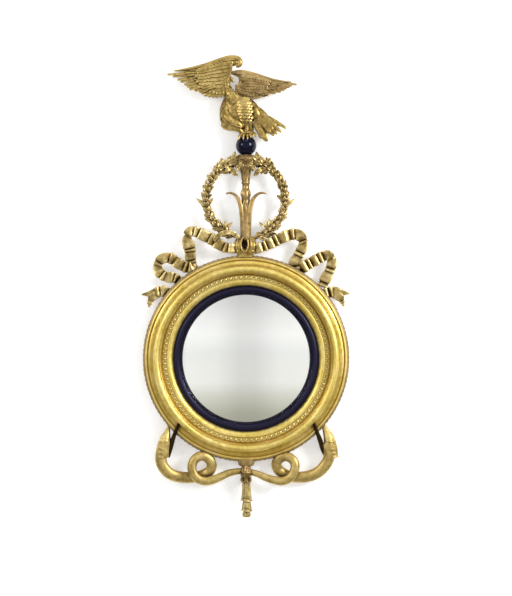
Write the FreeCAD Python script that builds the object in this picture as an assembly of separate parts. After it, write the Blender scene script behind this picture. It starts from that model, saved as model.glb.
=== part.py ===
import FreeCAD, Part
import math
import os

os.makedirs("parts", exist_ok=True)
V = FreeCAD.Vector

# Millimetres. The wall is the plane y = 0, the front looks along -Y, +Z is up,
# and the round frame's centre is the origin.

# Round frame, measured outwards along its radius.
GLASS_SIGHT_R = 170.5
SLIP_SIGHT_W = 21.0
SIGHT_FILLET_W = 16.0
LEAF_BAND_W = 11.0
HOLLOW_W = 10.0
TORUS_W = 14.5
COVE_W = 15.5
EDGE_FILLET_W = 6.5
EDGE_BAND_W = 7.0

SIGHT_R = GLASS_SIGHT_R + SLIP_SIGHT_W
LEAF_R = SIGHT_R + SIGHT_FILLET_W
HOLLOW_R = LEAF_R + LEAF_BAND_W
TORUS_R = HOLLOW_R + HOLLOW_W
COVE_R = TORUS_R + TORUS_W
FILLET_R = COVE_R + COVE_W
SIDE_R = FILLET_R + EDGE_FILLET_W
FRAME_R = SIDE_R + EDGE_BAND_W

# Round frame, measured forwards from the wall.
BACK_RING_T = 20.0
LIP_H = 24.0
SIGHT_H = 34.0
SIGHT_CREST_H = 44.0
BAND_FLOOR_H = 38.0
LEAF_TOP_H = 44.5
HOLLOW_H = 38.5
TORUS_H = 62.0
TORUS_FOOT_H = 50.0
COVE_H = 34.0
EDGE_FILLET_H = 38.0
EDGE_BAND_BACK_H = 22.0
EDGE_BAND_H = 33.0
LEAF_COUNT = 96
LEAF_DIP = 2.2
EDGE_TWIST_COUNT = 110
EDGE_TWIST_DIP = 1.4

# What the frame holds.
BACK_RING_BORE_R = 202.0
SLIP_T = 16.0
SLIP_CROWN_H = 36.0
GLASS_R = 179.0
GLASS_T = 4.0
GLASS_RISE = 22.0
SILVER_T = 0.3
BOARD_T = 8.0
BOARD_R = 211.3
BOARD_REBATE_R = 211.7
BOARD_SCREWS = 8
BOARD_SCREW_R = 1.4
BOARD_SCREW_HEAD_R = 2.6
BOARD_SCREW_L = 20.0
BLOCKS = 8
BLOCK_DEG = 14.0
BLOCK_W = 12.0

# Brass hangers let into the back.
HANGER_X = 45.0
HANGER_POCKET_W = 29.0
HANGER_POCKET_L = 46.0
HANGER_POCKET_D = 9.0
HANGER_PLATE_W = 13.0
HANGER_PLATE_L = 25.0
HANGER_PLATE_T = 1.5
HANGER_WIRE_R = 1.75
HANGER_RING_W = 25.0
HANGER_SIDE_L = 4.5
HANGER_SCREW_R = 1.4
HANGER_SCREW_HEAD_R = 2.7
HANGER_SCREW_L = 9.0
HANGER_SCREW_DROPS = (8.5, 20.5)

# Iron straps that carry the crest and the apron.
STRAP_W = 16.0
STRAP_T = 3.6
STRAP_INSET = 50.0
STRAP_STEP = 12.0
STRAP_STEP_L = 20.0
CREST_STRAP_L = 118.0
APRON_STRAP_L = 44.0
STRAP_SCREW_R = 2.0
STRAP_SCREW_HEAD_R = 3.6
STRAP_SCREW_L = 14.0

# Crest: clasp, stem, ball and rod on the centre line, heights above the frame.
CREST_Y = -28.0
KNOT_W = 48.0
KNOT_D = 22.0
CLASP_H = 44.0
CLASP_W = 26.0
CLASP_WIRE_R = 4.4
STEM_R = 9.8
SHEATH_R = 14.5
SHEATH_H = 110.0
CAPITAL_R = 22.0
BALL_R = 27.0
BALL_UP = 287.0
ROD_R = 2.5
ROD_L = 150.0
PIN_R = 1.0
PIN_L = 18.0
DROP_PIN_L = 32.0

# Laurel wreath round the stem.
WREATH_R = 103.0
WREATH_UP = 146.5
BRANCH_R = 4.2
LEAF_W = 10.0
LEAF_T = 5.0

# Ribbons, serpents and tassel.
RIBBON_T = 7.0
RIBBON_PLEAT = 2.2
RIBBON_PLEAT_L = 22.0
SERPENT_R = 15.2
SERPENT_FLAT = 0.72

FIT = 0.05
SEAT = 0.1
WALL_GAP = 0.4
BACK_FLAT_Y = -(STRAP_STEP + WALL_GAP + STRAP_T)


def save(shape, name):
    shape.exportStep("parts/" + name + ".step")
    print(name, len(shape.Solids), round(shape.Volume), "" if shape.isValid() else "INVALID")


def main_piece(shape):
    """The largest solid, without slivers that a cut leaves behind."""
    return sorted(shape.Solids, key=lambda one: one.Volume)[-1]


def turned(points):
    """Solid of revolution about the frame's axis from (radius, height) points and arcs."""
    edges = []
    for first, second in zip(points, points[1:] + points[:1]):
        start = V(first[0], -first[1], 0)
        end = V(second[0], -second[1], 0)
        if len(second) == 4:
            middle = V(second[2], -second[3], 0)
            edges.append(Part.Arc(start, middle, end).toShape())
        else:
            edges.append(Part.makeLine(start, end))
    face = Part.Face(Part.Wire(edges))
    return face.revolve(V(0, 0, 0), V(0, 1, 0), 360)


def moulded_front(rise):
    """Front of the round moulding from its sight edge outwards, as (r, h) with arcs."""
    floor = BAND_FLOOR_H + rise
    return [
        (SIGHT_R, SIGHT_H + rise),
        (LEAF_R - 2, SIGHT_CREST_H - 1 + rise, SIGHT_R + 9, SIGHT_CREST_H - 1.5 + rise),
        (LEAF_R, SIGHT_CREST_H - 3 + rise, LEAF_R - 0.6, SIGHT_CREST_H - 1.6 + rise),
        (LEAF_R, floor),
        (HOLLOW_R, floor),
        (HOLLOW_R, floor + 5),
        (TORUS_R, TORUS_FOOT_H - 5 + rise, HOLLOW_R + 5, HOLLOW_H + rise),
        (COVE_R, TORUS_FOOT_H + rise, TORUS_R + 6.5, TORUS_H + rise),
        (FILLET_R - 1.5, COVE_H + rise, COVE_R + 5, COVE_H + 5 + rise),
        (FILLET_R, COVE_H + rise),
        (SIDE_R, COVE_H + rise, FILLET_R + 3, EDGE_FILLET_H + rise),
    ]


def polar(angle, out, y):
    """Point at an angle from the top, clockwise from the front, out beyond the frame."""
    a = math.radians(angle)
    r = FRAME_R + out
    return V(r * math.sin(a), y, r * math.cos(a))


def polar_low(angle, out, y):
    p = polar(angle, out, y)
    return V(p.x, p.y, -p.z)


def above(x, up, y):
    return V(x, y, FRAME_R + up)


def below(x, down, y):
    return V(x, y, -FRAME_R - down)


def spread(values, count):
    """Values spread evenly over count places, straight between each two."""
    out = []
    for i in range(count):
        at = i * (len(values) - 1) / (count - 1)
        k = min(int(at), len(values) - 2)
        out.append(values[k] + (values[k + 1] - values[k]) * (at - k))
    return out


def section(c, w, t, sides):
    """Closed ring round c with half width w and half thickness t; 0 sides means a flat band."""
    if sides:
        turns = [2 * math.pi * (k + 0.5) / sides for k in range(sides)]
        corners = [(math.cos(a), math.sin(a)) for a in turns]
    else:
        corners = [(1, 0.6), (0.93, 1), (-0.93, 1), (-1, 0.6)]
        corners += [(-1, -0.6), (-0.93, -1), (0.93, -1), (1, -0.6)]
    ring = [c + w * a + t * b for a, b in corners]
    return Part.makePolygon(ring + ring[:1])


def swept(points, widths, thicks, count, sides=8, pleat=0.0, pleat_l=1.0):
    """Body along points: half widths lie across the front, half thicknesses in depth."""
    curve = Part.BSplineCurve()
    curve.interpolate(points)
    centres = curve.toShape().discretize(Number=count)
    step = curve.length() / (count - 1)
    all_w = spread(widths, count)
    all_t = spread(thicks, count)
    sections = []
    for i, c in enumerate(centres):
        ahead = centres[min(i + 1, count - 1)] - centres[max(i - 1, 0)]
        ahead.normalize()
        side = ahead.cross(V(0, 1, 0)).normalize()
        deep = ahead.cross(side).normalize()
        c = c + deep * (pleat * math.cos(2 * math.pi * i * step / pleat_l))
        sections.append(section(c, side * all_w[i], deep * all_t[i], sides))
    return Part.makeLoft(sections, True, True)


def closed_loft(sections):
    """Endless ruled body through a ring of sections, made as two halves."""
    half = len(sections) // 2
    first = Part.makeLoft(sections[:half + 1], True, True)
    second = Part.makeLoft(sections[half:] + sections[:1], True, True)
    return first.fuse(second)


def plate(outline, y_back, thickness):
    """Flat carved plate of the given front outline, standing forwards from y_back."""
    ring = [V(p.x, y_back, p.z) for p in outline]
    face = Part.Face(Part.makePolygon(ring + ring[:1]))
    return face.extrude(V(0, -thickness, 0))


def post(p, direction, r, length):
    return Part.makeCylinder(r, length, p, direction)


def screw(p, direction, r, head_r, length):
    """Countersunk screw whose flat head lies at p; direction points into the work."""
    shank = post(p, direction, r, length)
    return shank.fuse(Part.makeCone(head_r, r, head_r - r, p, direction))


def mirrored(shape):
    return shape.mirror(V(0, 0, 0), V(1, 0, 0))


# Round frame: moulding, back ring and the two carved bands.
front = moulded_front(0.0)
moulding = turned(
    [(SIGHT_R, LIP_H)] + front + [(SIDE_R, BACK_RING_T), (BACK_RING_BORE_R, BACK_RING_T),
                                  (BACK_RING_BORE_R, LIP_H)]
)
envelope = turned(
    [(SIGHT_R, -5)] + moulded_front(SEAT)[:-1]
    + [(SIDE_R, COVE_H + SEAT, FILLET_R + 3, EDGE_FILLET_H + SEAT)]
    + [(FRAME_R + SEAT, EDGE_BAND_H + SEAT), (FRAME_R + SEAT, EDGE_BAND_BACK_H - SEAT),
       (SIDE_R + SEAT, EDGE_BAND_BACK_H - SEAT), (SIDE_R + SEAT, -5)]
)
back_ring = turned(
    [(BACK_RING_BORE_R, BACK_RING_T), (SIDE_R - 1, BACK_RING_T), (SIDE_R - 1, 0),
     (BOARD_REBATE_R, 0), (BOARD_REBATE_R, BOARD_T), (BACK_RING_BORE_R, BOARD_T)]
)


def carved_band(inner, outer, low, high, count, dip):
    """Ring whose front and outer edge rise and fall in slanted lobes."""
    sections = []
    steps = count * 2
    for i in range(steps):
        a = 2 * math.pi * i / steps
        lift = dip * (1 if i % 2 else -1)
        crown = (inner + outer) / 2
        ring = []
        for r, h, share in (
            (inner, low, 0), (outer, low, 0), (outer - dip * 0.3, (low + high) / 2, 0.3),
            (crown + 1.5, high - dip, 1), (crown - 1.5, high - dip, -1), (inner, (low + high) / 2, 0),
        ):
            turn = a + share * 0.3 * math.pi / steps
            y = -(h + lift * abs(share))
            ring.append(V(r * math.sin(turn), y, r * math.cos(turn)))
        sections.append(Part.makePolygon(ring + ring[:1]))
    return closed_loft(sections)


leaf_band = carved_band(LEAF_R + SEAT, HOLLOW_R - SEAT, BAND_FLOOR_H, LEAF_TOP_H, LEAF_COUNT, LEAF_DIP)
edge_band = carved_band(SIDE_R + SEAT, FRAME_R, EDGE_BAND_BACK_H, EDGE_BAND_H, EDGE_TWIST_COUNT,
                        EDGE_TWIST_DIP)

# Black slip, convex glass, its silvering and the blocks that keep it in.
sphere_r = (GLASS_R ** 2 + GLASS_RISE ** 2) / (2 * GLASS_RISE)


def cap(r):
    """Height of the glass's front above its rim at radius r."""
    return math.sqrt(sphere_r ** 2 - r ** 2) - math.sqrt(sphere_r ** 2 - GLASS_R ** 2)


rim_h = LIP_H - cap(GLASS_SIGHT_R) - SEAT
centre_h = rim_h + GLASS_RISE - sphere_r
slip_back_h = LIP_H - SLIP_T
SLIP_R = BACK_RING_BORE_R - 0.5
slip = turned([
    (GLASS_SIGHT_R, LIP_H), (GLASS_SIGHT_R, LIP_H + 5),
    (SIGHT_R - 0.3, LIP_H + 7, GLASS_SIGHT_R + 11, SLIP_CROWN_H),
    (SIGHT_R - 0.3, LIP_H), (SLIP_R, LIP_H), (SLIP_R, slip_back_h),
    (GLASS_R + 0.4, slip_back_h), (GLASS_R + 0.4, LIP_H),
])


def shell(front_r, back_r, rim):
    """Round piece of a hollow ball between two radii, cut to the rim radius."""
    ball = Part.makeSphere(front_r, V(0, -centre_h, 0))
    hollow = Part.makeSphere(back_r, V(0, -centre_h, 0))
    column = post(V(0, 0, 0), V(0, -1, 0), rim, 80)
    return column.common(ball).cut(hollow)


glass = shell(sphere_r, sphere_r - GLASS_T, GLASS_R)
silver_r = sphere_r - GLASS_T - SEAT
silvering = shell(silver_r, silver_r - SILVER_T, GLASS_R - 3)
block_ring = turned([
    (GLASS_R - BLOCK_W, slip_back_h), (GLASS_R, slip_back_h),
    (GLASS_R, LIP_H), (GLASS_R - BLOCK_W, LIP_H),
]).cut(shell(sphere_r + 20, silver_r - SILVER_T - SEAT, GLASS_R + 5))
blocks = []
for i in range(BLOCKS):
    sector = Part.makeCylinder(GLASS_R + 10, 60, V(0, 0, 0), V(0, -1, 0), BLOCK_DEG)
    sector.rotate(V(0, 0, 0), V(0, 1, 0), 360 * i / BLOCKS + 22.5)
    blocks.append(block_ring.common(sector))
glass_blocks = Part.makeCompound(blocks)

board = turned([(0, 0), (BOARD_R, 0), (BOARD_R, BOARD_T), (0, BOARD_T)])
board_screws = []
board_screw_at = (BACK_RING_BORE_R + BOARD_REBATE_R) / 2 - 0.5
for i in range(BOARD_SCREWS):
    a = 2 * math.pi * (i + 0.5) / BOARD_SCREWS
    p = V(board_screw_at * math.sin(a), 0, board_screw_at * math.cos(a))
    board_screws.append(screw(p, V(0, -1, 0), BOARD_SCREW_R, BOARD_SCREW_HEAD_R, BOARD_SCREW_L))
board_screws = Part.makeCompound(board_screws)

# Hangers: pocket, plate folded round the ring's straight bar, ring and screws.
hanger_z = math.sqrt(((BOARD_REBATE_R + SIDE_R - 1) / 2) ** 2 - HANGER_X ** 2)
pocket_r = HANGER_POCKET_W / 2
pocket_half = HANGER_POCKET_L / 2 - pocket_r
ring_round_r = HANGER_RING_W / 2
pivot_z = hanger_z + pocket_half - HANGER_SIDE_L
knuckle_bore = HANGER_WIRE_R + FIT
knuckle_r = knuckle_bore + HANGER_PLATE_T
pivot_y = -HANGER_POCKET_D + knuckle_r


def stadium(x, z_low, z_high, r, y, depth):
    p_low = V(x, y, z_low)
    p_high = V(x, y, z_high)
    mid = Part.makeBox(2 * r, depth, z_high - z_low, V(x - r, y - depth, z_low))
    ends = post(p_low, V(0, -1, 0), r, depth).fuse(post(p_high, V(0, -1, 0), r, depth))
    return mid.fuse(ends)


pocket = stadium(HANGER_X, hanger_z - pocket_half, hanger_z + pocket_half, pocket_r, 1,
                 HANGER_POCKET_D + 1)
half_w = HANGER_PLATE_W / 2
floor_y = -HANGER_POCKET_D
plate_end_z = pivot_z - HANGER_PLATE_L + half_w
tongue = Part.makeBox(HANGER_PLATE_W, HANGER_PLATE_T, pivot_z - plate_end_z,
                      V(HANGER_X - half_w, floor_y, plate_end_z))
tongue = tongue.fuse(post(V(HANGER_X, floor_y, plate_end_z), V(0, 1, 0), half_w, HANGER_PLATE_T))
bar_start = V(HANGER_X - half_w, pivot_y, pivot_z)
knuckle = post(bar_start, V(1, 0, 0), knuckle_r, HANGER_PLATE_W)
bore = post(bar_start - V(1, 0, 0), V(1, 0, 0), knuckle_bore, HANGER_PLATE_W + 2)
hanger_plate = tongue.fuse(knuckle).cut(bore)

bend_r = ring_round_r - HANGER_WIRE_R
side_x = bend_r
corner = 3.0
side_low = pivot_z - HANGER_SIDE_L
ring_path = Part.Wire([
    Part.makeLine(V(-side_x + corner, 0, pivot_z), V(side_x - corner, 0, pivot_z)),
    Part.Arc(V(side_x - corner, 0, pivot_z),
             V(side_x - corner * 0.2929, 0, pivot_z - corner * 0.2929),
             V(side_x, 0, pivot_z - corner)).toShape(),
    Part.makeLine(V(side_x, 0, pivot_z - corner), V(side_x, 0, side_low)),
    Part.Arc(V(side_x, 0, side_low), V(0, 0, side_low - bend_r), V(-side_x, 0, side_low)).toShape(),
    Part.makeLine(V(-side_x, 0, side_low), V(-side_x, 0, pivot_z - corner)),
    Part.Arc(V(-side_x, 0, pivot_z - corner),
             V(-side_x + corner * 0.2929, 0, pivot_z - corner * 0.2929),
             V(-side_x + corner, 0, pivot_z)).toShape(),
])
ring_path.translate(V(HANGER_X, pivot_y, 0))
wire_circle = Part.makeCircle(HANGER_WIRE_R, V(HANGER_X, pivot_y, pivot_z), V(1, 0, 0))
half_a = Part.Wire([e for e in ring_path.Edges])
shell_sweep = Part.BRepOffsetAPI.MakePipeShell(half_a)
circle_start = Part.makeCircle(
    HANGER_WIRE_R, V(HANGER_X - side_x + corner, pivot_y, pivot_z), V(1, 0, 0))
shell_sweep.add(Part.Wire(circle_start))
shell_sweep.setTransitionMode(1)
shell_sweep.build()
shell_sweep.makeSolid()
hanger_ring = shell_sweep.shape()

hanger_screws = []
for drop in HANGER_SCREW_DROPS:
    p = V(HANGER_X, floor_y + HANGER_PLATE_T - 0.1, pivot_z - drop)
    hanger_screws.append(screw(p, V(0, -1, 0), HANGER_SCREW_R, HANGER_SCREW_HEAD_R,
                               HANGER_SCREW_L))
    hanger_plate = hanger_plate.cut(screw(p + V(0, 0.1, 0), V(0, -1, 0), HANGER_SCREW_R,
                                          HANGER_SCREW_HEAD_R + 0.1, HANGER_SCREW_L))
hanger_screws = Part.makeCompound(hanger_screws)
hanger_screws_both = Part.makeCompound(hanger_screws.Solids + mirrored(hanger_screws).Solids)


# Iron straps: flat at the frame's back, stepped forwards behind crest and apron.
def strap(length):
    start = FRAME_R - STRAP_INSET
    bend = FRAME_R - 2
    back = -WALL_GAP
    deep = back - STRAP_STEP
    z_end = FRAME_R + length
    shape = [(back, start), (back, bend), (deep, bend + STRAP_STEP_L), (deep, z_end),
             (deep - STRAP_T, z_end), (deep - STRAP_T, bend + STRAP_STEP_L),
             (back - STRAP_T, bend), (back - STRAP_T, start)]
    ring = [V(-STRAP_W / 2, y, z) for y, z in shape]
    return Part.Face(Part.makePolygon(ring + ring[:1])).extrude(V(STRAP_W, 0, 0))


def strap_screws(outs):
    found = []
    for out in outs:
        y = -WALL_GAP if out < 0 else -WALL_GAP - STRAP_STEP
        found.append(screw(V(0, y, FRAME_R + out), V(0, -1, 0), STRAP_SCREW_R,
                           STRAP_SCREW_HEAD_R, STRAP_SCREW_L))
    return Part.makeCompound(found)


def upside_down(shape):
    turned_shape = shape.copy()
    turned_shape.rotate(V(0, 0, 0), V(0, 1, 0), 180)
    return turned_shape


crest_strap = strap(CREST_STRAP_L)
crest_screws = strap_screws((-40, -18, 30, 64, 104))
apron_strap = upside_down(strap(APRON_STRAP_L))
apron_screws = upside_down(strap_screws((-40, -18, 32)))
strap_slot_start = FRAME_R - STRAP_INSET - 0.5
strap_slot = Part.makeBox(STRAP_W + 0.4, STRAP_T + WALL_GAP + 2, 60,
                          V(-STRAP_W / 2 - 0.2, -STRAP_T - WALL_GAP, strap_slot_start))

back_ring = back_ring.cut(strap_slot).cut(upside_down(strap_slot))
back_ring = back_ring.cut(pocket).cut(mirrored(pocket))
all_screws = Part.makeCompound(
    board_screws.Solids + hanger_screws_both.Solids + crest_screws.Solids + apron_screws.Solids)
for one in all_screws.Solids:
    back_ring = back_ring.cut(one)
    if one.BoundBox.YMin < -BACK_RING_T:
        moulding = moulding.cut(one)
board = board.cut(board_screws)
crest_strap = crest_strap.cut(crest_screws)
apron_strap = apron_strap.cut(apron_screws)

# Rod through the stem, the ball and the eagle's leg.
rod = post(above(-2, BALL_UP - 75, CREST_Y), V(0, 0, 1), ROD_R, ROD_L)
ball = Part.makeSphere(BALL_R, above(0, BALL_UP, CREST_Y)).cut(rod)
ball_space = Part.makeSphere(BALL_R + SEAT, above(0, BALL_UP, CREST_Y))


# Stem: tenon, leaf sheath, block, shaft with its collar, neck and capital.
def lathe(pairs, x, y):
    ring = [V(0, 0, FRAME_R + pairs[0][1])]
    ring += [V(r, 0, FRAME_R + up) for r, up in pairs]
    ring += [V(0, 0, FRAME_R + pairs[-1][1])]
    face = Part.Face(Part.makePolygon(ring + ring[:1]))
    solid = face.revolve(V(0, 0, 0), V(0, 0, 1), 360)
    solid.translate(V(x, y, 0))
    return solid


back_cut = Part.makeBox(400, 60, SHEATH_H + 60, V(-200, BACK_FLAT_Y, FRAME_R))
stem = lathe([
    (7, 26), (7, 40), (SHEATH_R - 2, 40), (SHEATH_R - 1.5, 80), (SHEATH_R, SHEATH_H),
    (SHEATH_R, 122), (11.5, 136), (12, 152), (11.2, 167), (STEM_R, 171), (STEM_R, 186),
    (STEM_R + 1.2, 188), (STEM_R + 1.2, 191), (STEM_R, 193), (11, 208), (13.5, 222), (14, 230),
    (CAPITAL_R - 4, 236), (CAPITAL_R, 248), (CAPITAL_R, 254), (CAPITAL_R - 4, 262),
], -1, CREST_Y)
stem = stem.cut(back_cut).cut(rod).cut(ball_space).cut(crest_screws)


def stem_leaf(side):
    path = [above(side * 11 - 1, 92, -40), above(side * 16 - 1, 126, -41),
            above(side * 23 - 1, 152, -39), above(side * 34 - 1, 161, -36),
            above(side * 51, 160, -34)]
    return swept(path, [4, 5.5, 4.6, 3.2, 1.5], [2.2, 3, 2.6, 2.2, 1.2], 10)


stem_leaf_left = main_piece(stem_leaf(-1).cut(stem))
stem_leaf_right = main_piece(stem_leaf(1).cut(stem))

# Knot and clasp on top of the frame.
knot_x = -2.0
knot = swept([above(knot_x, -6, CREST_Y), above(knot_x, 4, CREST_Y), above(knot_x, 14, CREST_Y),
              above(knot_x, 30, CREST_Y), above(knot_x, 44, CREST_Y), above(knot_x, 47, CREST_Y)],
             [KNOT_W * 0.5, KNOT_W * 0.46, KNOT_W * 0.44, KNOT_W * 0.46, KNOT_W * 0.36, 9],
             [KNOT_D / 2, KNOT_D / 2, KNOT_D / 2, KNOT_D / 2, KNOT_D / 2.4, 6], 12, 12)
tenon_hole = post(above(-1, 20, CREST_Y), V(0, 0, 1), 7.0 + FIT, 40)
knot = main_piece(knot.cut(envelope).cut(back_cut).cut(stem).cut(tenon_hole).cut(crest_screws))
clasp_centre = above(-4, 27, CREST_Y - KNOT_D / 2 - 2)
clasp_sections = []
for i in range(24):
    a = 2 * math.pi * i / 24
    out = V(math.cos(a), 0, math.sin(a))
    at = clasp_centre + V((CLASP_W / 2 - CLASP_WIRE_R) * math.cos(a), 0,
                          (CLASP_H / 2 - CLASP_WIRE_R) * math.sin(a))
    clasp_sections.append(section(at, out * CLASP_WIRE_R, V(0, CLASP_WIRE_R, 0), 8))
clasp = main_piece(closed_loft(clasp_sections).cut(knot).cut(stem))

# Laurel wreath: two branches of leaves that rise from the knot to the capital.
wreath_y = CREST_Y


def wreath_point(angle, out, y):
    """Point on the wreath, angle from its foot, out from the wreath's ring."""
    a = math.radians(angle)
    r = WREATH_R + out
    return above(-1 + r * math.sin(a), WREATH_UP - r * math.cos(a), y)


def wreath(side, foot, outward, inward, top):
    """Branch with leaves: (angle, lean, length) for each leaf outside and inside the ring."""
    path = [wreath_point(side * (foot + (156 - foot) * k / 10), 0, wreath_y) for k in range(11)]
    solids = [swept(path, [BRANCH_R, BRANCH_R * 1.25, BRANCH_R, BRANCH_R * 0.7],
                    [BRANCH_R * 0.95, BRANCH_R * 1.2, BRANCH_R * 0.95, BRANCH_R * 0.65], 20)]
    for sign, leaves in ((1, outward), (-1, inward)):
        for k, (angle, lean, length) in enumerate(leaves):
            y = wreath_y - 3 + 3 * (k % 3)
            root = wreath_point(side * angle, 0, y)
            heading = math.radians(angle)
            along = V(side * math.cos(heading), 0, math.sin(heading))
            away = V(side * math.sin(heading), 0, -math.cos(heading)) * sign
            turn = math.radians(lean)
            way = along * math.cos(turn) + away * math.sin(turn)
            tip = root + way * length
            mid = root + way * (length * 0.55) + V(0, -2, 0)
            solids.append(swept([root, mid, tip], [2.2, LEAF_W / 2, LEAF_W / 2, 1.6],
                                [1.8, LEAF_T / 2, LEAF_T / 2, 1.2], 6))
    for x, up, dx, dup in top:
        root = above(side * x - 1, up, wreath_y)
        tip = above(side * (x + dx) - 1, up + dup, wreath_y - 5)
        solids.append(swept([root, (root + tip) * 0.5 + V(0, -3, 0), tip],
                            [4, LEAF_W / 2 + 1.5, LEAF_W / 2, 2], [3, 4, 3, 1.4], 6))
    return solids[0].multiFuse(solids[1:])


sides = [(30, 40, 20), (46, 52, 25), (60, 30, 24), (74, 35, 22), (87, 50, 30), (98, 28, 22),
         (110, 32, 24), (120, 30, 24), (131, 28, 26), (143, 30, 26)]
inner = [(34, 58, 30), (52, 28, 20), (66, 30, 20), (82, 38, 26), (101, 25, 20), (116, 25, 18),
         (133, 62, 32)]
top_leaves = [(50, 236, -12, 20), (44, 240, -24, 4), (36, 238, -8, 32), (30, 236, -18, 10),
              (56, 232, 8, 22), (34, 246, -18, 14)]
wreath_left = wreath(-1, 10, sides, inner, top_leaves).cut(stem).cut(knot).cut(ball_space)
wreath_right = wreath(1, 9, sides, inner, top_leaves).cut(stem).cut(knot).cut(ball_space)

# Eagle, in sizes from the ball's centre.
eagle_y = CREST_Y


def bird(x, up, y=0.0):
    return above(x, BALL_UP + up, eagle_y + y)


torso_levels = [
    (-50, 176, 8, 7.5), (-49, 158, 8.5, 8), (-47, 145, 10.5, 10), (-38, 134, 21, 15),
    (-26, 127, 31, 18), (-19.5, 117, 43.5, 22), (-17.5, 104, 50.5, 24), (-13.5, 88, 58.5, 24),
    (-12, 67, 59, 22), (-24, 51, 44, 17), (-28, 43, 32, 12), (-34, 38, 14, 6),
]
torso = Part.makeLoft([section(bird(x, up), V(w, 0, 0), V(0, t, 0), 16)
                       for x, up, w, t in torso_levels], True, True)
skull = Part.makeSphere(12.5, bird(-47, 174))
beak = swept([bird(-42, 176), bird(-36, 175), bird(-33, 170), bird(-34, 165)],
             [7, 5.5, 3.5, 1.2], [6, 4.5, 3, 1.1], 8)
leg = swept([bird(-42, 50), bird(-26, 42), bird(-10, 34), bird(-3, 22)],
            [10, 11, 9, 6.5], [9, 9, 7.5, 6], 9)
thigh = swept([bird(14, 64), bird(15, 50), bird(16, 38), bird(17, 20)],
              [11, 9, 6.5, 4], [10, 8, 6, 4], 7)
claws = []
for x, reach in ((-14, -1), (-5, 0), (4, 1)):
    claws.append(swept([bird(x / 2 - 3, 26, -4), bird(x, 24, -14), bird(x * 1.3, 13, -25)],
                       [4, 3.6, 1.6], [3.6, 3.2, 1.5], 6))
for x in (12, 20, 26):
    claws.append(swept([bird(17, 34, 0), bird(x, 27, -8), bird(x * 1.02, 17, -13)],
                       [3.6, 3, 1.5], [3.2, 2.8, 1.4], 6))
eagle = torso.multiFuse([skull, beak, leg, thigh] + claws)
SEAM_X = 15.5
rear_box = Part.makeBox(120, 120, 110, bird(SEAM_X, 44, -60))
rump = torso.common(rear_box)
eagle = main_piece(eagle.cut(rear_box))

feathers = []
fan = [(105, 45, 7), (95, 34, 7), (84, 29, 7), (74, 21, 8), (57, 9, 9), (45, 22, 8), (35, 37, 8)]
for k, (x, up, w) in enumerate(fan):
    root = bird(34 - k * 1.5, 84 - k * 2.5, -6 + k * 2)
    tip = bird(x, up, -8 + k * 2.5)
    middle = (root + tip) * 0.5 + V(0, -3, 0)
    feathers.append(swept([root, middle, tip], [w, w * 1.2, w * 1.1, 2.4], [5, 4.5, 3.6, 1.6], 7))
tail_wedge = swept([bird(20, 96), bird(36, 84), bird(52, 66), bird(66, 50)],
                   [20, 20, 17, 10], [16, 13, 9, 5], 8)
tail_wedge = tail_wedge.cut(Part.makeBox(120, 120, 200, bird(SEAM_X - 120, 0, -60)))
tail = rump.multiFuse([tail_wedge] + feathers)
tail = main_piece(tail.cut(Part.makeBox(60, 120, 200, bird(SEAM_X - 60, 0, -60))))
tail_pin = post(bird(SEAM_X - 14, 88, 2), V(1, 0, 0), 3, 30)


def feather_plate(root, tip, width, y_back, thickness):
    """Flat feather with parallel sides and a rounded tip."""
    way = tip - root
    length = way.Length
    way.normalize()
    side = way.cross(V(0, 1, 0)).normalize() * (width / 2)
    outline = [root + side * 0.9, root - side * 0.9]
    for along, share in ((0.6, 1), (0.8, 0.95), (0.9, 0.75), (0.97, 0.4)):
        outline.append(root + way * (length * along) - side * share)
    outline.append(root + way * length)
    for along, share in ((0.97, 0.4), (0.9, 0.75), (0.8, 0.95), (0.6, 1)):
        outline.append(root + way * (length * along) + side * share)
    return plate(outline, y_back, thickness)


# Left wing: covert plate, primaries, scalloped secondaries and the rolled front edge.
left_plate = plate([bird(x, up) for x, up in (
    (-150, 203), (-94, 216), (-60, 226), (-30, 232), (-18, 226), (-20, 214), (-38, 210),
    (-52, 200), (-58, 188), (-56, 176), (-58, 140), (-62, 131), (-104, 134), (-120, 142),
    (-152, 160), (-160, 180))], eagle_y + 7, 11)
left_parts = []
primaries = [(-189, 198, 10), (-207, 186, 11), (-181, 172, 11), (-164, 159, 12), (-152, 147, 12)]
for k, (x, up, w) in enumerate(primaries):
    left_parts.append(feather_plate(bird(-92, 190 - k * 9), bird(x, up), w, eagle_y + 8 - k, 7))
secondaries = [(-121, 138), (-105, 131), (-87, 127), (-70, 127)]
for k, (x, up) in enumerate(secondaries):
    left_parts.append(feather_plate(bird(x + 26 - k * 4, up + 42), bird(x, up), 19,
                                    eagle_y + 5 + k, 12))
left_parts.append(swept(
    [bird(-176, 199), bird(-147, 202), bird(-94, 215), bird(-60, 227), bird(-36, 231),
     bird(-22, 224), bird(-30, 214)], [2.5, 5, 6.5, 7.5, 7.5, 9, 8], [3, 6, 8, 9, 10, 11, 9], 14))
wing_left = left_plate.multiFuse(left_parts)
wing_left = main_piece(wing_left.cut(eagle))

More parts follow.
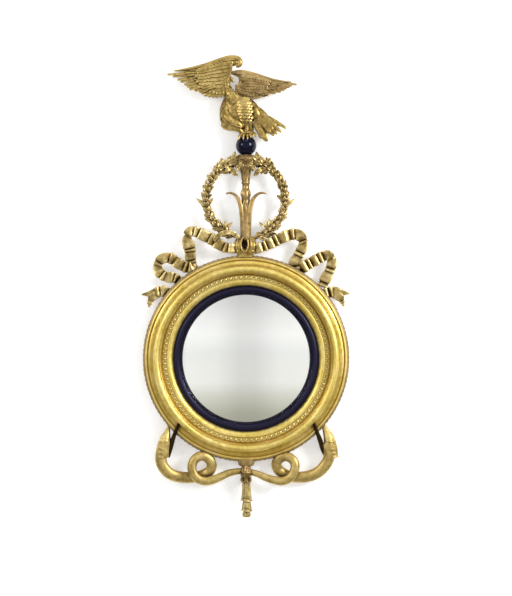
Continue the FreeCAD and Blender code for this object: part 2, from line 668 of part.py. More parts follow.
# Right wing: the same parts on a flatter, longer outline.
right_plate = plate([bird(x, up) for x, up in (
    (-50, 193), (-37, 197), (-16, 196), (10, 189), (37, 180), (63, 172), (92, 166), (96, 150),
    (60, 138), (47, 133), (16, 124), (-2, 124), (-24, 134), (-33, 143), (-31, 156), (-21, 166),
    (-26, 178), (-45, 181), (-51, 187))], eagle_y + 9, 11)
right_parts = []
right_primaries = [(115, 167, 9), (134, 160, 9), (116, 151, 10), (100, 143, 11), (81, 136, 12)]
for k, (x, up, w) in enumerate(right_primaries):
    right_parts.append(feather_plate(bird(40, 170 - k * 7), bird(x, up), w, eagle_y + 9 - k, 7))
right_secondaries = [(47, 130), (32, 125), (16, 122), (0, 122)]
for k, (x, up) in enumerate(right_secondaries):
    right_parts.append(feather_plate(bird(x - 20 + k * 3, up + 34), bird(x, up), 18,
                                     eagle_y + 7 + k, 12))
right_parts.append(swept(
    [bird(-46, 188), bird(-30, 192), bird(-4, 190), bird(30, 180), bird(66, 171), bird(104, 167)],
    [4, 5.5, 6.5, 6, 4.5, 2], [6, 8, 9, 8, 6, 3], 12))
wing_right = right_plate.multiFuse(right_parts)
wing_right = main_piece(wing_right.cut(eagle).cut(tail).cut(wing_left))

wing_pin_left = post(bird(-56, 138, 0), V(-1, 0, 0.25), 2.2, 24)
wing_pin_left.translate(V(6, 0, 0))
wing_pin_right = post(bird(-4, 106, 0), V(0.1, 0, 1), 2.2, 36)
eagle_pins = Part.makeCompound([tail_pin, wing_pin_left, wing_pin_right])
eagle = main_piece(eagle.cut(ball_space).cut(rod).cut(eagle_pins))
wing_left = main_piece(wing_left.cut(eagle_pins))
wing_right = main_piece(wing_right.cut(eagle_pins))
tail = main_piece(tail.cut(eagle_pins))

# Ribbons: pleated bands from the knot to the frame and along it, with forked tails.
HOLD_Y = -14.0


def ribbon(points, widths, ys, pleat=RIBBON_PLEAT):
    path = [polar(a, out, y) for (a, out), y in zip(points, spread(ys, len(points)))]
    return swept(path, widths, [RIBBON_T / 2] * 2, 3 * len(points), 0, pleat, RIBBON_PLEAT_L)


ribbon_left_inner = [
    ([(-3.1, 16), (-7.3, 19), (-10.6, 27), (-14.3, 36), (-16.9, 53), (-19.3, 70), (-21.6, 84),
      (-23.8, 89), (-26.4, 84)], [11, 12, 13, 15, 15, 15, 14, 12, 9], [-30, -34, -30, -24]),
    ([(-25.6, 88), (-26.9, 74), (-27.3, 58), (-27.9, 42), (-27.6, 27), (-28.2, 13), (-29, -3),
      (-29.4, -18)], [10, 14, 15, 15, 12, 9, 9, 9], [-16, -22, -18, HOLD_Y, HOLD_Y]),
]
ribbon_right_inner = [
    ([(2.1, 13), (6.1, 22), (8.6, 28), (10.9, 34), (12.9, 46), (15.6, 59), (18.4, 69),
      (21.2, 74), (24.2, 72)], [11, 12, 13, 14, 14, 14, 14, 12, 9], [-30, -34, -30, -24]),
    ([(23.0, 76), (25.3, 72), (26.6, 60), (26.9, 44), (26.5, 29), (26.4, 13), (27.2, -1),
      (28.0, -18)], [10, 13, 14, 14, 13, 12, 11, 11], [-16, -22, -18, HOLD_Y, HOLD_Y]),
]
ribbon_left_outer = [
    ([(-30.7, -16), (-32.2, 6), (-34.5, 24), (-36.3, 40), (-37.4, 57), (-39.4, 67),
      (-42.0, 68)], [12, 13, 13, 13, 13, 11, 8], [HOLD_Y, -22, -26, -20]),
    ([(-40.2, 71), (-43.2, 64), (-44.9, 53), (-45.0, 38), (-44.3, 21), (-43.7, 5), (-43.4, -14)],
     [8, 12, 13, 13, 12, 11, 11], [-14, -22, HOLD_Y, HOLD_Y]),
]
ribbon_right_outer = [
    ([(31.6, -16), (33.4, 12), (34.6, 33), (35.9, 50), (37.5, 65), (39.8, 72), (42.2, 70)],
     [12, 13, 13, 13, 13, 11, 8], [HOLD_Y, -22, -26, -20]),
    ([(40.2, 76), (42.7, 66), (44.2, 49), (45.3, 31), (46.4, 13), (47.2, -14)],
     [8, 11, 12, 12, 11, 11], [-14, -22, HOLD_Y, HOLD_Y]),
]
tail_left = [
    ([(-49.6, -16), (-50.7, 6), (-53.0, 20), (-55.9, 32), (-58.6, 51)], [12, 13, 12, 7, 2],
     [HOLD_Y, -18, -16]),
    ([(-52.9, 14), (-56.6, 22), (-59.7, 21), (-62.3, 18)], [10, 10, 7, 2.5], [-18, -14]),
]
tail_right = [
    ([(49.4, -16), (51.5, 6), (52.8, 20), (55.5, 34), (58.0, 50)], [12, 13, 12, 7, 2],
     [HOLD_Y, -18, -16]),
    ([(52.6, 12), (56.1, 21), (58.8, 22), (62.0, 19)], [10, 10, 7, 2.5], [-18, -14]),
]
bow_left = [([(-2.6, 36), (-4.6, 52), (-7.2, 61), (-10.4, 62), (-13.6, 56), (-15.4, 47)],
             [4, 5, 6.5, 7, 6.5, 5], [-34, -41, -42, -38])]
bow_right = [([(2.0, 37), (5.2, 49), (7.7, 58), (10.8, 63), (13.0, 61), (14.2, 50)],
               [4, 5, 6.5, 7, 6.5, 5], [-26, -18, -18, -24])]


def banded(parts):
    made = [ribbon(*part, RIBBON_PLEAT if len(parts) > 1 else 0.4) for part in parts]
    whole = made[0] if len(made) == 1 else made[0].multiFuse(made[1:])
    return main_piece(whole.cut(envelope))


ribbons = {}
for name, parts in (
    ("ribbon_left_inner", ribbon_left_inner), ("ribbon_right_inner", ribbon_right_inner),
    ("ribbon_left_outer", ribbon_left_outer), ("ribbon_right_outer", ribbon_right_outer),
    ("ribbon_left_tail", tail_left), ("ribbon_right_tail", tail_right),
    ("bow_left", bow_left), ("bow_right", bow_right),
):
    ribbons[name] = main_piece(banded(parts).cut(knot).cut(clasp).cut(stem))
for side in ("left", "right"):
    band = ribbons["ribbon_" + side + "_inner"]
    outer = "ribbon_" + side + "_outer"
    forked = "ribbon_" + side + "_tail"
    ribbons[outer] = main_piece(ribbons[outer].cut(band))
    ribbons["bow_" + side] = main_piece(ribbons["bow_" + side].cut(band))
    ribbons[forked] = main_piece(ribbons[forked].cut(ribbons[outer]))
wreath_left = main_piece(wreath_left.cut(ribbons["bow_left"]).cut(ribbons["ribbon_left_inner"]))
wreath_right = main_piece(wreath_right.cut(ribbons["bow_right"]).cut(ribbons["ribbon_right_inner"]))

ribbon_pins = []
for angle in (-29.0, 27.6, -31.4, 32.2, -43.5, 46.9, -49.8, 49.8):
    way = V(math.sin(math.radians(angle)), 0, math.cos(math.radians(angle)))
    ribbon_pins.append(post(way * (SIDE_R - 10) + V(0, HOLD_Y, 0), way, PIN_R, PIN_L))
ribbon_pins = Part.makeCompound(ribbon_pins)
for one in ribbon_pins.Solids:
    back_ring = back_ring.cut(one)
for name in list(ribbons):
    if name.startswith("ribbon"):
        ribbons[name] = main_piece(ribbons[name].cut(ribbon_pins))

# Serpents that bite the frame's edge and curl to the tassel.
tassel_y = CREST_Y


def serpent(body, ys, outer_jaw, inner_jaw, tip):
    path = [polar_low(a, out, y) for (a, out), y in zip(body, ys)]
    r = SERPENT_R
    widths = [r, r, r, r, r * 0.95, r * 0.9, r * 0.82, r * 0.82, r * 0.8, r * 0.78, r * 0.74,
              r * 0.7, r * 0.62]
    trunk = swept(path, widths, [w * SERPENT_FLAT for w in widths], 44, 12)
    parts = []
    parts.append(swept([polar_low(a, out, y) for a, out, y in outer_jaw],
                       [13, 12, 8.5, 3], [10, 10, 7, 3], 8))
    parts.append(swept([polar_low(a, out, y) for a, out, y in inner_jaw],
                       [9, 8, 6.5, 2.5], [8, 7, 6, 2.5], 8))
    parts.append(swept([polar_low(a, out, y) for a, out, y in tip], [6, 5, 2], [5, 4, 1.8], 6))
    return main_piece(trunk.multiFuse(parts).cut(envelope))


serpent_left = serpent(
    [(-44.6, 36), (-43.3, 48), (-41.4, 66), (-39.0, 81), (-36.0, 89), (-32.8, 91), (-29.5, 86),
     (-26.0, 77), (-22.5, 65), (-19.3, 50), (-17.7, 33), (-18.5, 17), (-21.2, 8), (-24.6, 9),
     (-26.8, 22), (-26.9, 40), (-25.4, 55), (-22.5, 66), (-19.0, 67), (-15.7, 59), (-12.4, 46),
     (-8.9, 33), (-5.1, 26), (-1.2, 23)],
    [-28, -28, -27, -26, -24, -21, -17, -15, -15, -17, -21, -25, -28, -31, -34, -37, -38, -38,
     -37, -35, -32, -29, -28, -28],
    [(-43.2, 50, -27), (-45.2, 36, -27), (-47.2, 18, -24), (-48.7, 1, -20)],
    [(-41.4, 50, -30), (-42.4, 26, -38), (-43.6, 2, -48), (-45.2, -19, -50)],
    [(-17.0, 62, -24), (-14.0, 64, -26), (-11.6, 62, -26)])
serpent_right = serpent(
    [(44.0, 36), (42.4, 49), (39.9, 67), (35.9, 78), (31.4, 82), (27.0, 77), (23.2, 68),
     (20.4, 59), (17.6, 45), (15.9, 28), (16.4, 13), (18.6, 5), (21.8, 5), (24.2, 15),
     (24.9, 31), (23.3, 47), (20.4, 60), (16.9, 63), (13.4, 56), (9.5, 45), (5.9, 33), (1.2, 24)],
    [-28, -28, -27, -25, -22, -18, -16, -15, -16, -20, -24, -28, -31, -34, -37, -38, -38, -37,
     -34, -31, -29, -28],
    [(42.2, 50, -27), (44.7, 34, -27), (47.0, 12, -24), (49.2, -9, -20)],
    [(40.4, 48, -30), (41.6, 24, -38), (43.4, -1, -48), (45.6, -25, -50)],
    [(14.5, 60, -24), (11.5, 61, -26), (9.0, 60, -26)])

# Tassel: block on the strap, gathered knot and three-tiered drop.
back_low = Part.makeBox(200, 60, 100, V(-100, BACK_FLAT_Y, -FRAME_R - 100))
block = swept([below(0, -10, tassel_y), below(0, -3, tassel_y), below(0, 4, tassel_y),
               below(0, 10, tassel_y)], [22, 22, 20, 16], [12, 12, 11, 10], 8)
block = block.cut(envelope).cut(back_low)
gather = swept([below(0, 6, tassel_y), below(0, 14, tassel_y), below(0, 22, tassel_y),
                below(0, 32, tassel_y), below(0, 42, tassel_y), below(0, 50, tassel_y)],
               [10, 13, 16, 15, 16, 11], [10, 12, 13, 12, 12, 9], 12)
gather = gather.cut(back_low).cut(apron_screws)
block = main_piece(block.cut(gather))
strap_space = Part.makeBox(STRAP_W + 1, 40, 100, V(-STRAP_W / 2 - 0.5, BACK_FLAT_Y, -FRAME_R - 90))
serpent_left = main_piece(serpent_left.cut(gather).cut(strap_space))
serpent_right = main_piece(serpent_right.cut(gather).cut(strap_space).cut(serpent_left))
tiers = [(48, 12, 10), (66, 13, 11), (94, 15, 12.5), (101, 16, 13), (107, 13.5, 11), (118, 15, 12),
         (126, 15.5, 12.5), (129, 12.5, 10.5), (138, 13, 11), (145, 11.5, 9)]
drop_sections = []
for down, w, t in tiers:
    c = below(1, down, tassel_y)
    drop_sections.append(Part.Wire(Part.Ellipse(c + V(w, 0, 0), c + V(0, t, 0), c).toShape()))
drop = Part.makeLoft(drop_sections, True, True)
drop = drop.cut(gather)
drop_pin = post(below(0, 70, tassel_y), V(0, 0, 1), 2, DROP_PIN_L)
drop = drop.cut(drop_pin)
gather = gather.cut(drop_pin)

jaw_pins = []
for angle in (-47.8, 47.9):
    way = V(math.sin(math.radians(angle)), 0, -math.cos(math.radians(angle)))
    jaw_pins.append(post(way * (SIDE_R - 10) + V(0, -16, 0), way, PIN_R, PIN_L + 6))
jaw_pins = Part.makeCompound(jaw_pins)
for one in jaw_pins.Solids:
    back_ring = back_ring.cut(one)
serpent_left = main_piece(serpent_left.cut(jaw_pins))
serpent_right = main_piece(serpent_right.cut(jaw_pins))

pieces = {
    "frame_moulding": moulding,
    "frame_back_ring": back_ring,
    "leaf_band": leaf_band,
    "edge_band": edge_band,
    "ebonised_slip": slip,
    "convex_glass": glass,
    "silvering": silvering,
    "glass_blocks": glass_blocks,
    "backboard": board,
    "backboard_screws": board_screws,
    "hanger_plate_right": hanger_plate,
    "hanger_plate_left": mirrored(hanger_plate),
    "hanger_ring_right": hanger_ring,
    "hanger_ring_left": mirrored(hanger_ring),
    "hanger_screws": hanger_screws_both,
    "crest_strap": crest_strap,
    "crest_screws": crest_screws,
    "apron_strap": apron_strap,
    "apron_screws": apron_screws,
    "crest_rod": rod,
    "stem": stem,
    "stem_leaf_left": stem_leaf_left,
    "stem_leaf_right": stem_leaf_right,
    "knot": knot,
    "clasp": clasp,
    "ball": ball,
    "wreath_left": wreath_left,
    "wreath_right": wreath_right,
    "eagle_body": eagle,
    "eagle_tail": tail,
    "eagle_wing_left": wing_left,
    "eagle_wing_right": wing_right,
    "eagle_pins": eagle_pins,
    "ribbon_pins": ribbon_pins,
    "serpent_left": serpent_left,
    "serpent_right": serpent_right,
    "jaw_pins": jaw_pins,
    "tassel_block": block,
    "tassel_gather": gather,
    "tassel_drop": drop,
    "drop_pin": drop_pin,
}
pieces.update(ribbons)
for name, shape in pieces.items():
    save(shape, name)
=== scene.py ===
import math
import random

import bmesh
import bpy
from mathutils import Matrix, Vector


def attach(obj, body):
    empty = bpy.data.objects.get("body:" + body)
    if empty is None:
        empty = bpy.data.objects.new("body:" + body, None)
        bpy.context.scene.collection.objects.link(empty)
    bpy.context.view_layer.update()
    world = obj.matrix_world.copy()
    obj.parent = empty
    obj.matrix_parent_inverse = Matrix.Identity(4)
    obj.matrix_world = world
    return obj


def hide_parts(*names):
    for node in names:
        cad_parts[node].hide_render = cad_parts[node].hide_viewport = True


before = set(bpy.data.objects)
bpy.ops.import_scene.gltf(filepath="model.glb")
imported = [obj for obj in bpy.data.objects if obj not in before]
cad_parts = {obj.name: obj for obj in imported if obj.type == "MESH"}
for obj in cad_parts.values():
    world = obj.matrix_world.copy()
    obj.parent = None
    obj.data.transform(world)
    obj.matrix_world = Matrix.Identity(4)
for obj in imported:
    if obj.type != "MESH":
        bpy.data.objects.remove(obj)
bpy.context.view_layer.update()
MM = 0.001
draw = random.Random(7)

# Sizes in millimetres that the solids have too. The wall is y = 0, the front looks along -Y.
FRAME_R = 272.0
SIGHT_R = 170.5
GLASS_R = 179.0
GLASS_RISE = 22.0
GLASS_SEAT = 24.0
GLASS_THICK = 4.0
GLASS_GAP = 0.1
SILVER_R = 176.0
SILVER_THICK = 0.3
CREST_Y = -28.0
STEM_X = -1.0
BALL_UP = 287.0
BALL_R = 27.0
ROD_HOLE_R = 2.6
HOLE_EDGE = 26.87
HOLE_INNER = 25.4
KNOT_X = -2.0
CLASP_X = -4.0
CLASP_UP = 27.0
WREATH_R = 103.0
WREATH_UP = 146.5
HOLD_Y = -14.0
SEAM_X = 15.5
# Sizes and counts of the finer carving, which only this file has.
SEAM_GAP = 0.3
LEAVES_ROUND = 100
TWISTS_ROUND = 130


def at(x, y, z):
    return Vector((x, y, z)) * MM


def polar(angle, out, y, down=False):
    """Point beyond the round frame, its angle taken clockwise from the top (or from the foot)."""
    a = math.radians(angle)
    r = FRAME_R + out
    return at(r * math.sin(a), y, r * math.cos(a) * (-1 if down else 1))


def above(x, up, y=CREST_Y):
    return at(x, y, FRAME_R + up)


def below(x, down, y=CREST_Y):
    return at(x, y, -FRAME_R - down)


def bird(x, up, y=0.0):
    return above(x, BALL_UP + up, CREST_Y + y)


# ---------------------------------------------------------------- bench tools


def alone(obj):
    if bpy.context.object and bpy.context.object.mode != "OBJECT":
        bpy.ops.object.mode_set(mode="OBJECT")
    bpy.ops.object.select_all(action="DESELECT")
    obj.select_set(True)
    bpy.context.view_layer.objects.active = obj
    return obj


def clear():
    if bpy.context.object and bpy.context.object.mode != "OBJECT":
        bpy.ops.object.mode_set(mode="OBJECT")
    bpy.ops.object.select_all(action="DESELECT")


def settled(obj):
    """Puts the object's place and turn into its mesh."""
    alone(obj)
    bpy.ops.object.transform_apply(location=True, rotation=True, scale=True)
    return obj


def modified(obj, kind, **settings):
    alone(obj)
    modifier = obj.modifiers.new(kind.title(), kind)
    for key, value in settings.items():
        setattr(modifier, key, value)
    bpy.ops.object.modifier_apply(modifier=modifier.name)
    return obj


def opened(obj):
    """Puts a mesh on the bench in edit mode with all of it selected."""
    alone(obj)
    bpy.ops.object.mode_set(mode="EDIT")
    bpy.ops.mesh.select_all(action="SELECT")


def shut(obj):
    bpy.ops.object.mode_set(mode="OBJECT")
    return obj


def cleaned(obj, gap=1e-6):
    opened(obj)
    bpy.ops.mesh.remove_doubles(threshold=gap)
    bpy.ops.mesh.normals_make_consistent(inside=False)
    return shut(obj)


def joined(objs):
    clear()
    for obj in objs:
        obj.select_set(True)
    bpy.context.view_layer.objects.active = objs[0]
    if len(objs) > 1:
        bpy.ops.object.join()
    return bpy.context.object


def fused(objs, voxel, soften=2):
    """Joins overlapping pieces and closes them into one carved skin."""
    obj = joined(objs)
    modified(obj, "REMESH", mode="VOXEL", voxel_size=voxel * MM, use_smooth_shade=True)
    if soften:
        modified(obj, "SMOOTH", factor=0.5, iterations=soften)
    return obj


def copy_of(obj):
    alone(obj)
    bpy.ops.object.duplicate(linked=False)
    return bpy.context.object


def placed(master, root, along, facing, long=1.0, wide=1.0, thick=1.0):
    """Copy of a master that lies along X and faces Z, set at root along one way and facing another."""
    x = along.normalized()
    z = (facing - x * facing.dot(x)).normalized()
    y = z.cross(x)
    obj = copy_of(master)
    rows = [[x[i] * long, y[i] * wide, z[i] * thick, root[i]] for i in range(3)]
    obj.matrix_world = Matrix(rows + [[0, 0, 0, 1]])
    return settled(obj)


def dropped(obj):
    bpy.data.objects.remove(obj)


def pick(obj, test):
    """Selects the vertices of the mesh in edit mode whose place passes the test."""
    work = bmesh.from_edit_mesh(obj.data)
    for vert in work.verts:
        vert.select_set(bool(test(vert.co)))
    work.select_flush_mode()
    bmesh.update_edit_mesh(obj.data)


def turned(points, steps, axis=(0, 1, 0), centre=(0, 0, 0)):
    """Outline drawn point by point from one vertex, then spun into a solid of revolution."""
    clear()
    bpy.ops.mesh.primitive_plane_add(size=MM, location=points[0])
    obj = settled(bpy.context.object)
    opened(obj)
    bpy.ops.mesh.merge(type="CENTER")
    for start, end in zip(points, points[1:]):
        bpy.ops.mesh.extrude_region_move(TRANSFORM_OT_translate={"value": end - start})
    bpy.ops.mesh.select_all(action="SELECT")
    bpy.ops.mesh.spin(steps=steps, angle=2 * math.pi, center=centre, axis=axis)
    return cleaned(shut(obj), 2e-6)


def arc(start, middle, end, count):
    """Points of the circle through three (radius, height) pairs, without the first."""
    (ax, ay), (bx, by), (cx, cy) = start, middle, end
    d = 2 * (ax * (by - cy) + bx * (cy - ay) + cx * (ay - by))
    ux = ((ax**2 + ay**2) * (by - cy) + (bx**2 + by**2) * (cy - ay) + (cx**2 + cy**2) * (ay - by)) / d
    uy = ((ax**2 + ay**2) * (cx - bx) + (bx**2 + by**2) * (ax - cx) + (cx**2 + cy**2) * (bx - ax)) / d
    r = math.hypot(ax - ux, ay - uy)
    a0, a1, a2 = (math.atan2(y - uy, x - ux) for x, y in (start, middle, end))
    turn = (a2 - a0) % (2 * math.pi)
    if (a1 - a0) % (2 * math.pi) > turn:
        turn -= 2 * math.pi
    steps = [a0 + turn * k / count for k in range(1, count + 1)]
    return [(ux + r * math.cos(a), uy + r * math.sin(a)) for a in steps]


def round_work(profile, steps):
    """Turns a profile of (radius, height) pairs about the frame's axis."""
    return turned([at(0, -h, r) for r, h in profile], steps)


def lathe_work(profile, x, y, steps=48):
    """Turns (radius, up) pairs about an upright axis above the frame."""
    return turned([at(x + r, y, FRAME_R + up) for r, up in profile], steps, (0, 0, 1), at(x, y, 0))


def stacked(levels, sides, star=0.0):
    """Upright body drawn up from a ring: levels are (centre, half width, half depth)."""
    clear()
    centre, w, t = levels[0]
    bpy.ops.mesh.primitive_circle_add(vertices=sides, radius=1, fill_type="NGON", location=centre)
    obj = bpy.context.object
    obj.scale = (w * MM, t * MM, 1)
    settled(obj)
    bpy.ops.object.mode_set(mode="EDIT")
    if star:
        work = bmesh.from_edit_mesh(obj.data)
        for k, vert in enumerate(work.verts):
            vert.select_set(k % 2 == 1)
        work.select_flush_mode()
        bpy.ops.transform.resize(value=(1 - star,) * 3, center_override=centre)
    bpy.ops.mesh.select_all(action="SELECT")
    for (c0, w0, t0), (c1, w1, t1) in zip(levels, levels[1:]):
        bpy.ops.mesh.extrude_region_move(TRANSFORM_OT_translate={"value": c1 - c0})
        bpy.ops.transform.resize(value=(w1 / w0, t1 / t0, 1), center_override=c1)
    return cleaned(shut(obj))


def strip(stations, rows=2, rib=0.0, thick=3.0):
    """Strip along X facing Z: stations are (x, half width, lift); the middle rises by rib."""
    clear()
    count = len(stations)
    bpy.ops.mesh.primitive_grid_add(x_subdivisions=count - 1, y_subdivisions=rows, size=2)
    obj = bpy.context.object
    bpy.ops.object.mode_set(mode="EDIT")
    work = bmesh.from_edit_mesh(obj.data)
    work.verts.ensure_lookup_table()
    found = sorted(range(len(work.verts)), key=lambda i: (round(work.verts[i].co.x, 5), i))
    per = len(found) // count
    start_x = [work.verts[found[k * per]].co.x for k in range(count)]
    for k, (x, half, lift) in enumerate(stations):
        bpy.ops.mesh.select_all(action="DESELECT")
        work = bmesh.from_edit_mesh(obj.data)
        work.verts.ensure_lookup_table()
        for i in found[k * per:(k + 1) * per]:
            work.verts[i].select_set(True)
        work.select_flush_mode()
        bpy.ops.transform.resize(value=(1, half * MM, 1), center_override=(0, 0, 0))
        bpy.ops.transform.translate(value=(x * MM - start_x[k], 0, lift * MM))
    if rib:
        pick(obj, lambda p: abs(p.y) < 1e-7)
        bpy.ops.transform.translate(value=(0, 0, rib * MM))
    shut(obj)
    modified(obj, "SOLIDIFY", thickness=thick * MM, offset=0.0)
    return modified(obj, "SUBSURF", levels=1, render_levels=1)


def line(points, radii, closed=False, resolution=8):
    """Smooth line through front-view points, drawn flat: X across, Y up, Z towards the viewer."""
    clear()
    bpy.ops.curve.primitive_bezier_curve_add(location=(0, 0, 0))
    obj = bpy.context.object
    spline = obj.data.splines[0]
    spline.bezier_points.add(len(points) - 2)
    for k, (knot, p) in enumerate(zip(spline.bezier_points, points)):
        knot.co = (p.x, p.z, -p.y)
        knot.handle_left_type = knot.handle_right_type = "AUTO"
        knot.radius = radii[k]
    spline.use_cyclic_u = closed
    obj.data.dimensions = "3D"
    obj.data.twist_mode = "Z_UP"
    obj.data.resolution_u = resolution
    bpy.context.view_layer.update()
    return obj


def spread(values, count):
    """Values spread evenly over count places, straight between each two."""
    out = []
    for i in range(count):
        place = i * (len(values) - 1) / (count - 1)
        k = min(int(place), len(values) - 2)
        out.append(values[k] + (values[k + 1] - values[k]) * (place - k))
    return out


def upright(obj):
    obj.rotation_euler = (math.pi / 2, 0, 0)
    return settled(obj)


def tube(points, radii, flat=1.0, sides=12, closed=False, resolution=6):
    """Round or flattened bar along a line, its radius in millimetres given at each point."""
    clear()
    bpy.ops.curve.primitive_bezier_circle_add(radius=MM)
    ring = bpy.context.object
    ring.data.resolution_u = max(2, sides // 4)
    ring.scale = (1, flat, 1)
    settled(ring)
    obj = line(points, spread(radii, len(points)), closed, resolution=resolution)
    obj.data.bevel_mode = "OBJECT"
    obj.data.bevel_object = ring
    obj.data.use_fill_caps = not closed
    alone(obj)
    bpy.ops.object.convert(target="MESH")
    obj = bpy.context.object
    dropped(ring)
    upright(obj)
    return cleaned(obj, 1e-5)


def along_line(obj, points, radii=None):
    """Bends a strip along a line in the front view."""
    path = line(points, radii or [1.0] * len(points), resolution=24)
    path.data.use_radius = True
    path.data.use_stretch = True
    path.data.use_deform_bounds = True
    modified(obj, "CURVE", object=path, deform_axis="POS_X")
    dropped(path)
    return upright(obj)


def egg(centre, sizes, segments=16, rings=10):
    """Rounded lump: half sizes across, in depth and upwards, in millimetres."""
    clear()
    bpy.ops.mesh.primitive_uv_sphere_add(segments=segments, ring_count=rings, radius=MM,
                                         location=centre)
    obj = bpy.context.object
    obj.scale = sizes
    return settled(obj)


# ---------------------------------------------------------------- finishes


def feed(tree, socket, value):
    """Links another node's output to the socket, or sets a plain value on it."""
    if isinstance(value, bpy.types.NodeSocket):
        tree.links.new(value, socket)
    else:
        socket.default_value = value


def plugged(tree, node, **inputs):
    """Feeds a node's inputs by name; what is no input is set on the node itself."""
    for key, value in inputs.items():
        name = key.replace("_", " ")
        if name in node.inputs:
            feed(tree, node.inputs[name], value)
        else:
            setattr(node, key, value)
    return node


def finish_node(tree, kind, **inputs):
    return plugged(tree, tree.nodes.new("ShaderNode" + kind), **inputs)


def new_finish(name):
    mat = bpy.data.materials.new(name)
    mat.use_nodes = True
    tree = mat.node_tree
    shader = tree.nodes["Principled BSDF"]
    place = tree.nodes.new("ShaderNodeTexCoord").outputs["Object"]
    return mat, tree, shader, place


def ramp(tree, value, stops):
    node = tree.nodes.new("ShaderNodeValToRGB")
    feed(tree, node.inputs["Fac"], value)
    while len(node.color_ramp.elements) < len(stops):
        node.color_ramp.elements.new(0.5)
    for element, (position, colour) in zip(node.color_ramp.elements, stops):
        element.position = position
        element.color = (*colour, 1) if isinstance(colour, tuple) else (colour, colour, colour, 1)
    return node.outputs["Color"]


def noise(tree, place, scale, detail=4.0, rough=0.55):
    node = finish_node(tree, "TexNoise", Vector=place, Scale=scale, Detail=detail, Roughness=rough)
    return node.outputs["Fac"]


def blend(tree, factor, first, second, kind="MIX"):
    node = finish_node(tree, "Mix", data_type="RGBA", blend_type=kind)
    feed(tree, node.inputs["Factor"], factor)
    for socket, value in ((node.inputs[6], first), (node.inputs[7], second)):
        feed(tree, socket, (*value, 1) if isinstance(value, tuple) else value)
    return node.outputs[2]


def bumped(tree, shader, height, strength, depth):
    node = finish_node(tree, "Bump", Height=height, Strength=strength, Distance=depth * MM)
    tree.links.new(node.outputs["Normal"], shader.inputs["Normal"])


def gilding(name, tones, shade_and_grime_colour, rough, hollow, wear=0.5, scales=0.0):
    """Gold leaf on gesso: leaf tone clouds, painted shade in the hollows (occlusion blends towards a
    brown to near-black shade colour, with some grime toning), rubbed bright on the edges.

    Hollow is (reach in millimetres, openness at full tone, openness without any).
    """
    mat, tree, shader, place = new_finish(name)
    light, middle, dark = tones
    clouds = noise(tree, place, 16.0, 5.0)
    leaf = noise(tree, place, 95.0, 6.0, 0.6)
    tone = blend(tree, 0.5, clouds, leaf)
    colour = ramp(tree, tone, [(0.36, dark), (0.48, middle), (0.62, light)])
    reach, full, none = hollow
    # Occlusion darkening: painted shade in the hollows, creases and folds, blended towards the shade
    # colour
    shut_in = finish_node(tree, "AmbientOcclusion", Distance=reach * MM, samples=8)
    shade = ramp(tree, shut_in.outputs["AO"], [(full, 1.0), (none, 0.0)])
    colour = blend(tree, shade, colour, shade_and_grime_colour)
    edges = tree.nodes.new("ShaderNodeNewGeometry").outputs["Pointiness"]
    rubbed = ramp(tree, edges, [(0.50, 0.0), (0.60, wear)])
    colour = blend(tree, rubbed, colour, light)
    gloss = ramp(tree, leaf, [(0.3, rough - 0.08), (0.7, rough + 0.12)])
    plugged(tree, shader, Base_Color=colour, Roughness=gloss, Metallic=0.9)
    grain = blend(tree, 0.35, leaf, noise(tree, place, 700.0, 3.0))
    if scales:
        cells = finish_node(tree, "TexVoronoi", Vector=place, Scale=scales)
        grain = blend(tree, 0.75, grain, cells.outputs["Distance"])
    bumped(tree, shader, grain, 0.30, 0.5)
    return mat


LEAF_TONES = ((0.88, 0.715, 0.28), (0.74, 0.560, 0.138), (0.60, 0.428, 0.085))
CARVED_TONES = ((0.60, 0.44, 0.16), (0.37, 0.25, 0.070), (0.16, 0.095, 0.022))
BROWN_TONES = ((0.52, 0.370, 0.160), (0.30, 0.196, 0.072), (0.12, 0.068, 0.020))
WREATH_TONES = ((0.64, 0.48, 0.21), (0.34, 0.236, 0.082), (0.12, 0.072, 0.021))
RIBBON_TONES = ((0.78, 0.62, 0.29), (0.42, 0.30, 0.105), (0.15, 0.096, 0.028))
# In each call the colour after the tones is the painted shade of the hollows (with some grime toning),
# and the last tuple sets its occlusion reach
leaf_gold = gilding("water_gilding", LEAF_TONES, (0.36, 0.175, 0.024), 0.42, (10.0, 0.20, 0.88))
carved_gold = gilding("carved_gilding", CARVED_TONES, (0.035, 0.018, 0.004), 0.35,
                      (15.0, 0.32, 0.93), 0.7)
brown_gold = gilding("brown_toned_gilding", BROWN_TONES, (0.025, 0.012, 0.003), 0.38,
                     (15.0, 0.36, 0.95), 0.7)
wreath_gold = gilding("wreath_gilding", WREATH_TONES, (0.022, 0.011, 0.003), 0.34,
                      (17.0, 0.44, 0.97), 0.8)
ribbon_gold = gilding("ribbon_gilding", RIBBON_TONES, (0.040, 0.020, 0.006), 0.35,
                      (19.0, 0.48, 0.95), 0.7)
band_gold = gilding("carved_band_gilding", LEAF_TONES, (0.11, 0.052, 0.010), 0.44, (7.0, 0.45, 0.92))
EDGE_TONES = ((0.46, 0.34, 0.17), (0.30, 0.205, 0.09), (0.15, 0.09, 0.036))
SCALY_TONES = ((0.70, 0.54, 0.21), (0.51, 0.370, 0.125), (0.33, 0.222, 0.068))
# Near-black gilding that stands in for shade: painted shade for the inside of the clasp and the
# serpents' inner jaws
PAINTED_SHADE_TONES = ((0.050, 0.026, 0.008), (0.022, 0.011, 0.004), (0.010, 0.005, 0.002))
edge_gold = gilding("rubbed_edge_gilding", EDGE_TONES,
                    (0.07, 0.035, 0.010), 0.46, (8.0, 0.30, 0.85), 0.6)
scaly_gold = gilding("serpent_gilding", SCALY_TONES,
                     (0.06, 0.030, 0.007), 0.44, (15.0, 0.30, 0.86), 0.5, 300.0)
shade_dark_gilding = gilding("painted_shade_gilding", PAINTED_SHADE_TONES, (0.005, 0.003, 0.002), 0.55,
                     (13.0, 0.30, 0.86), 0.2)


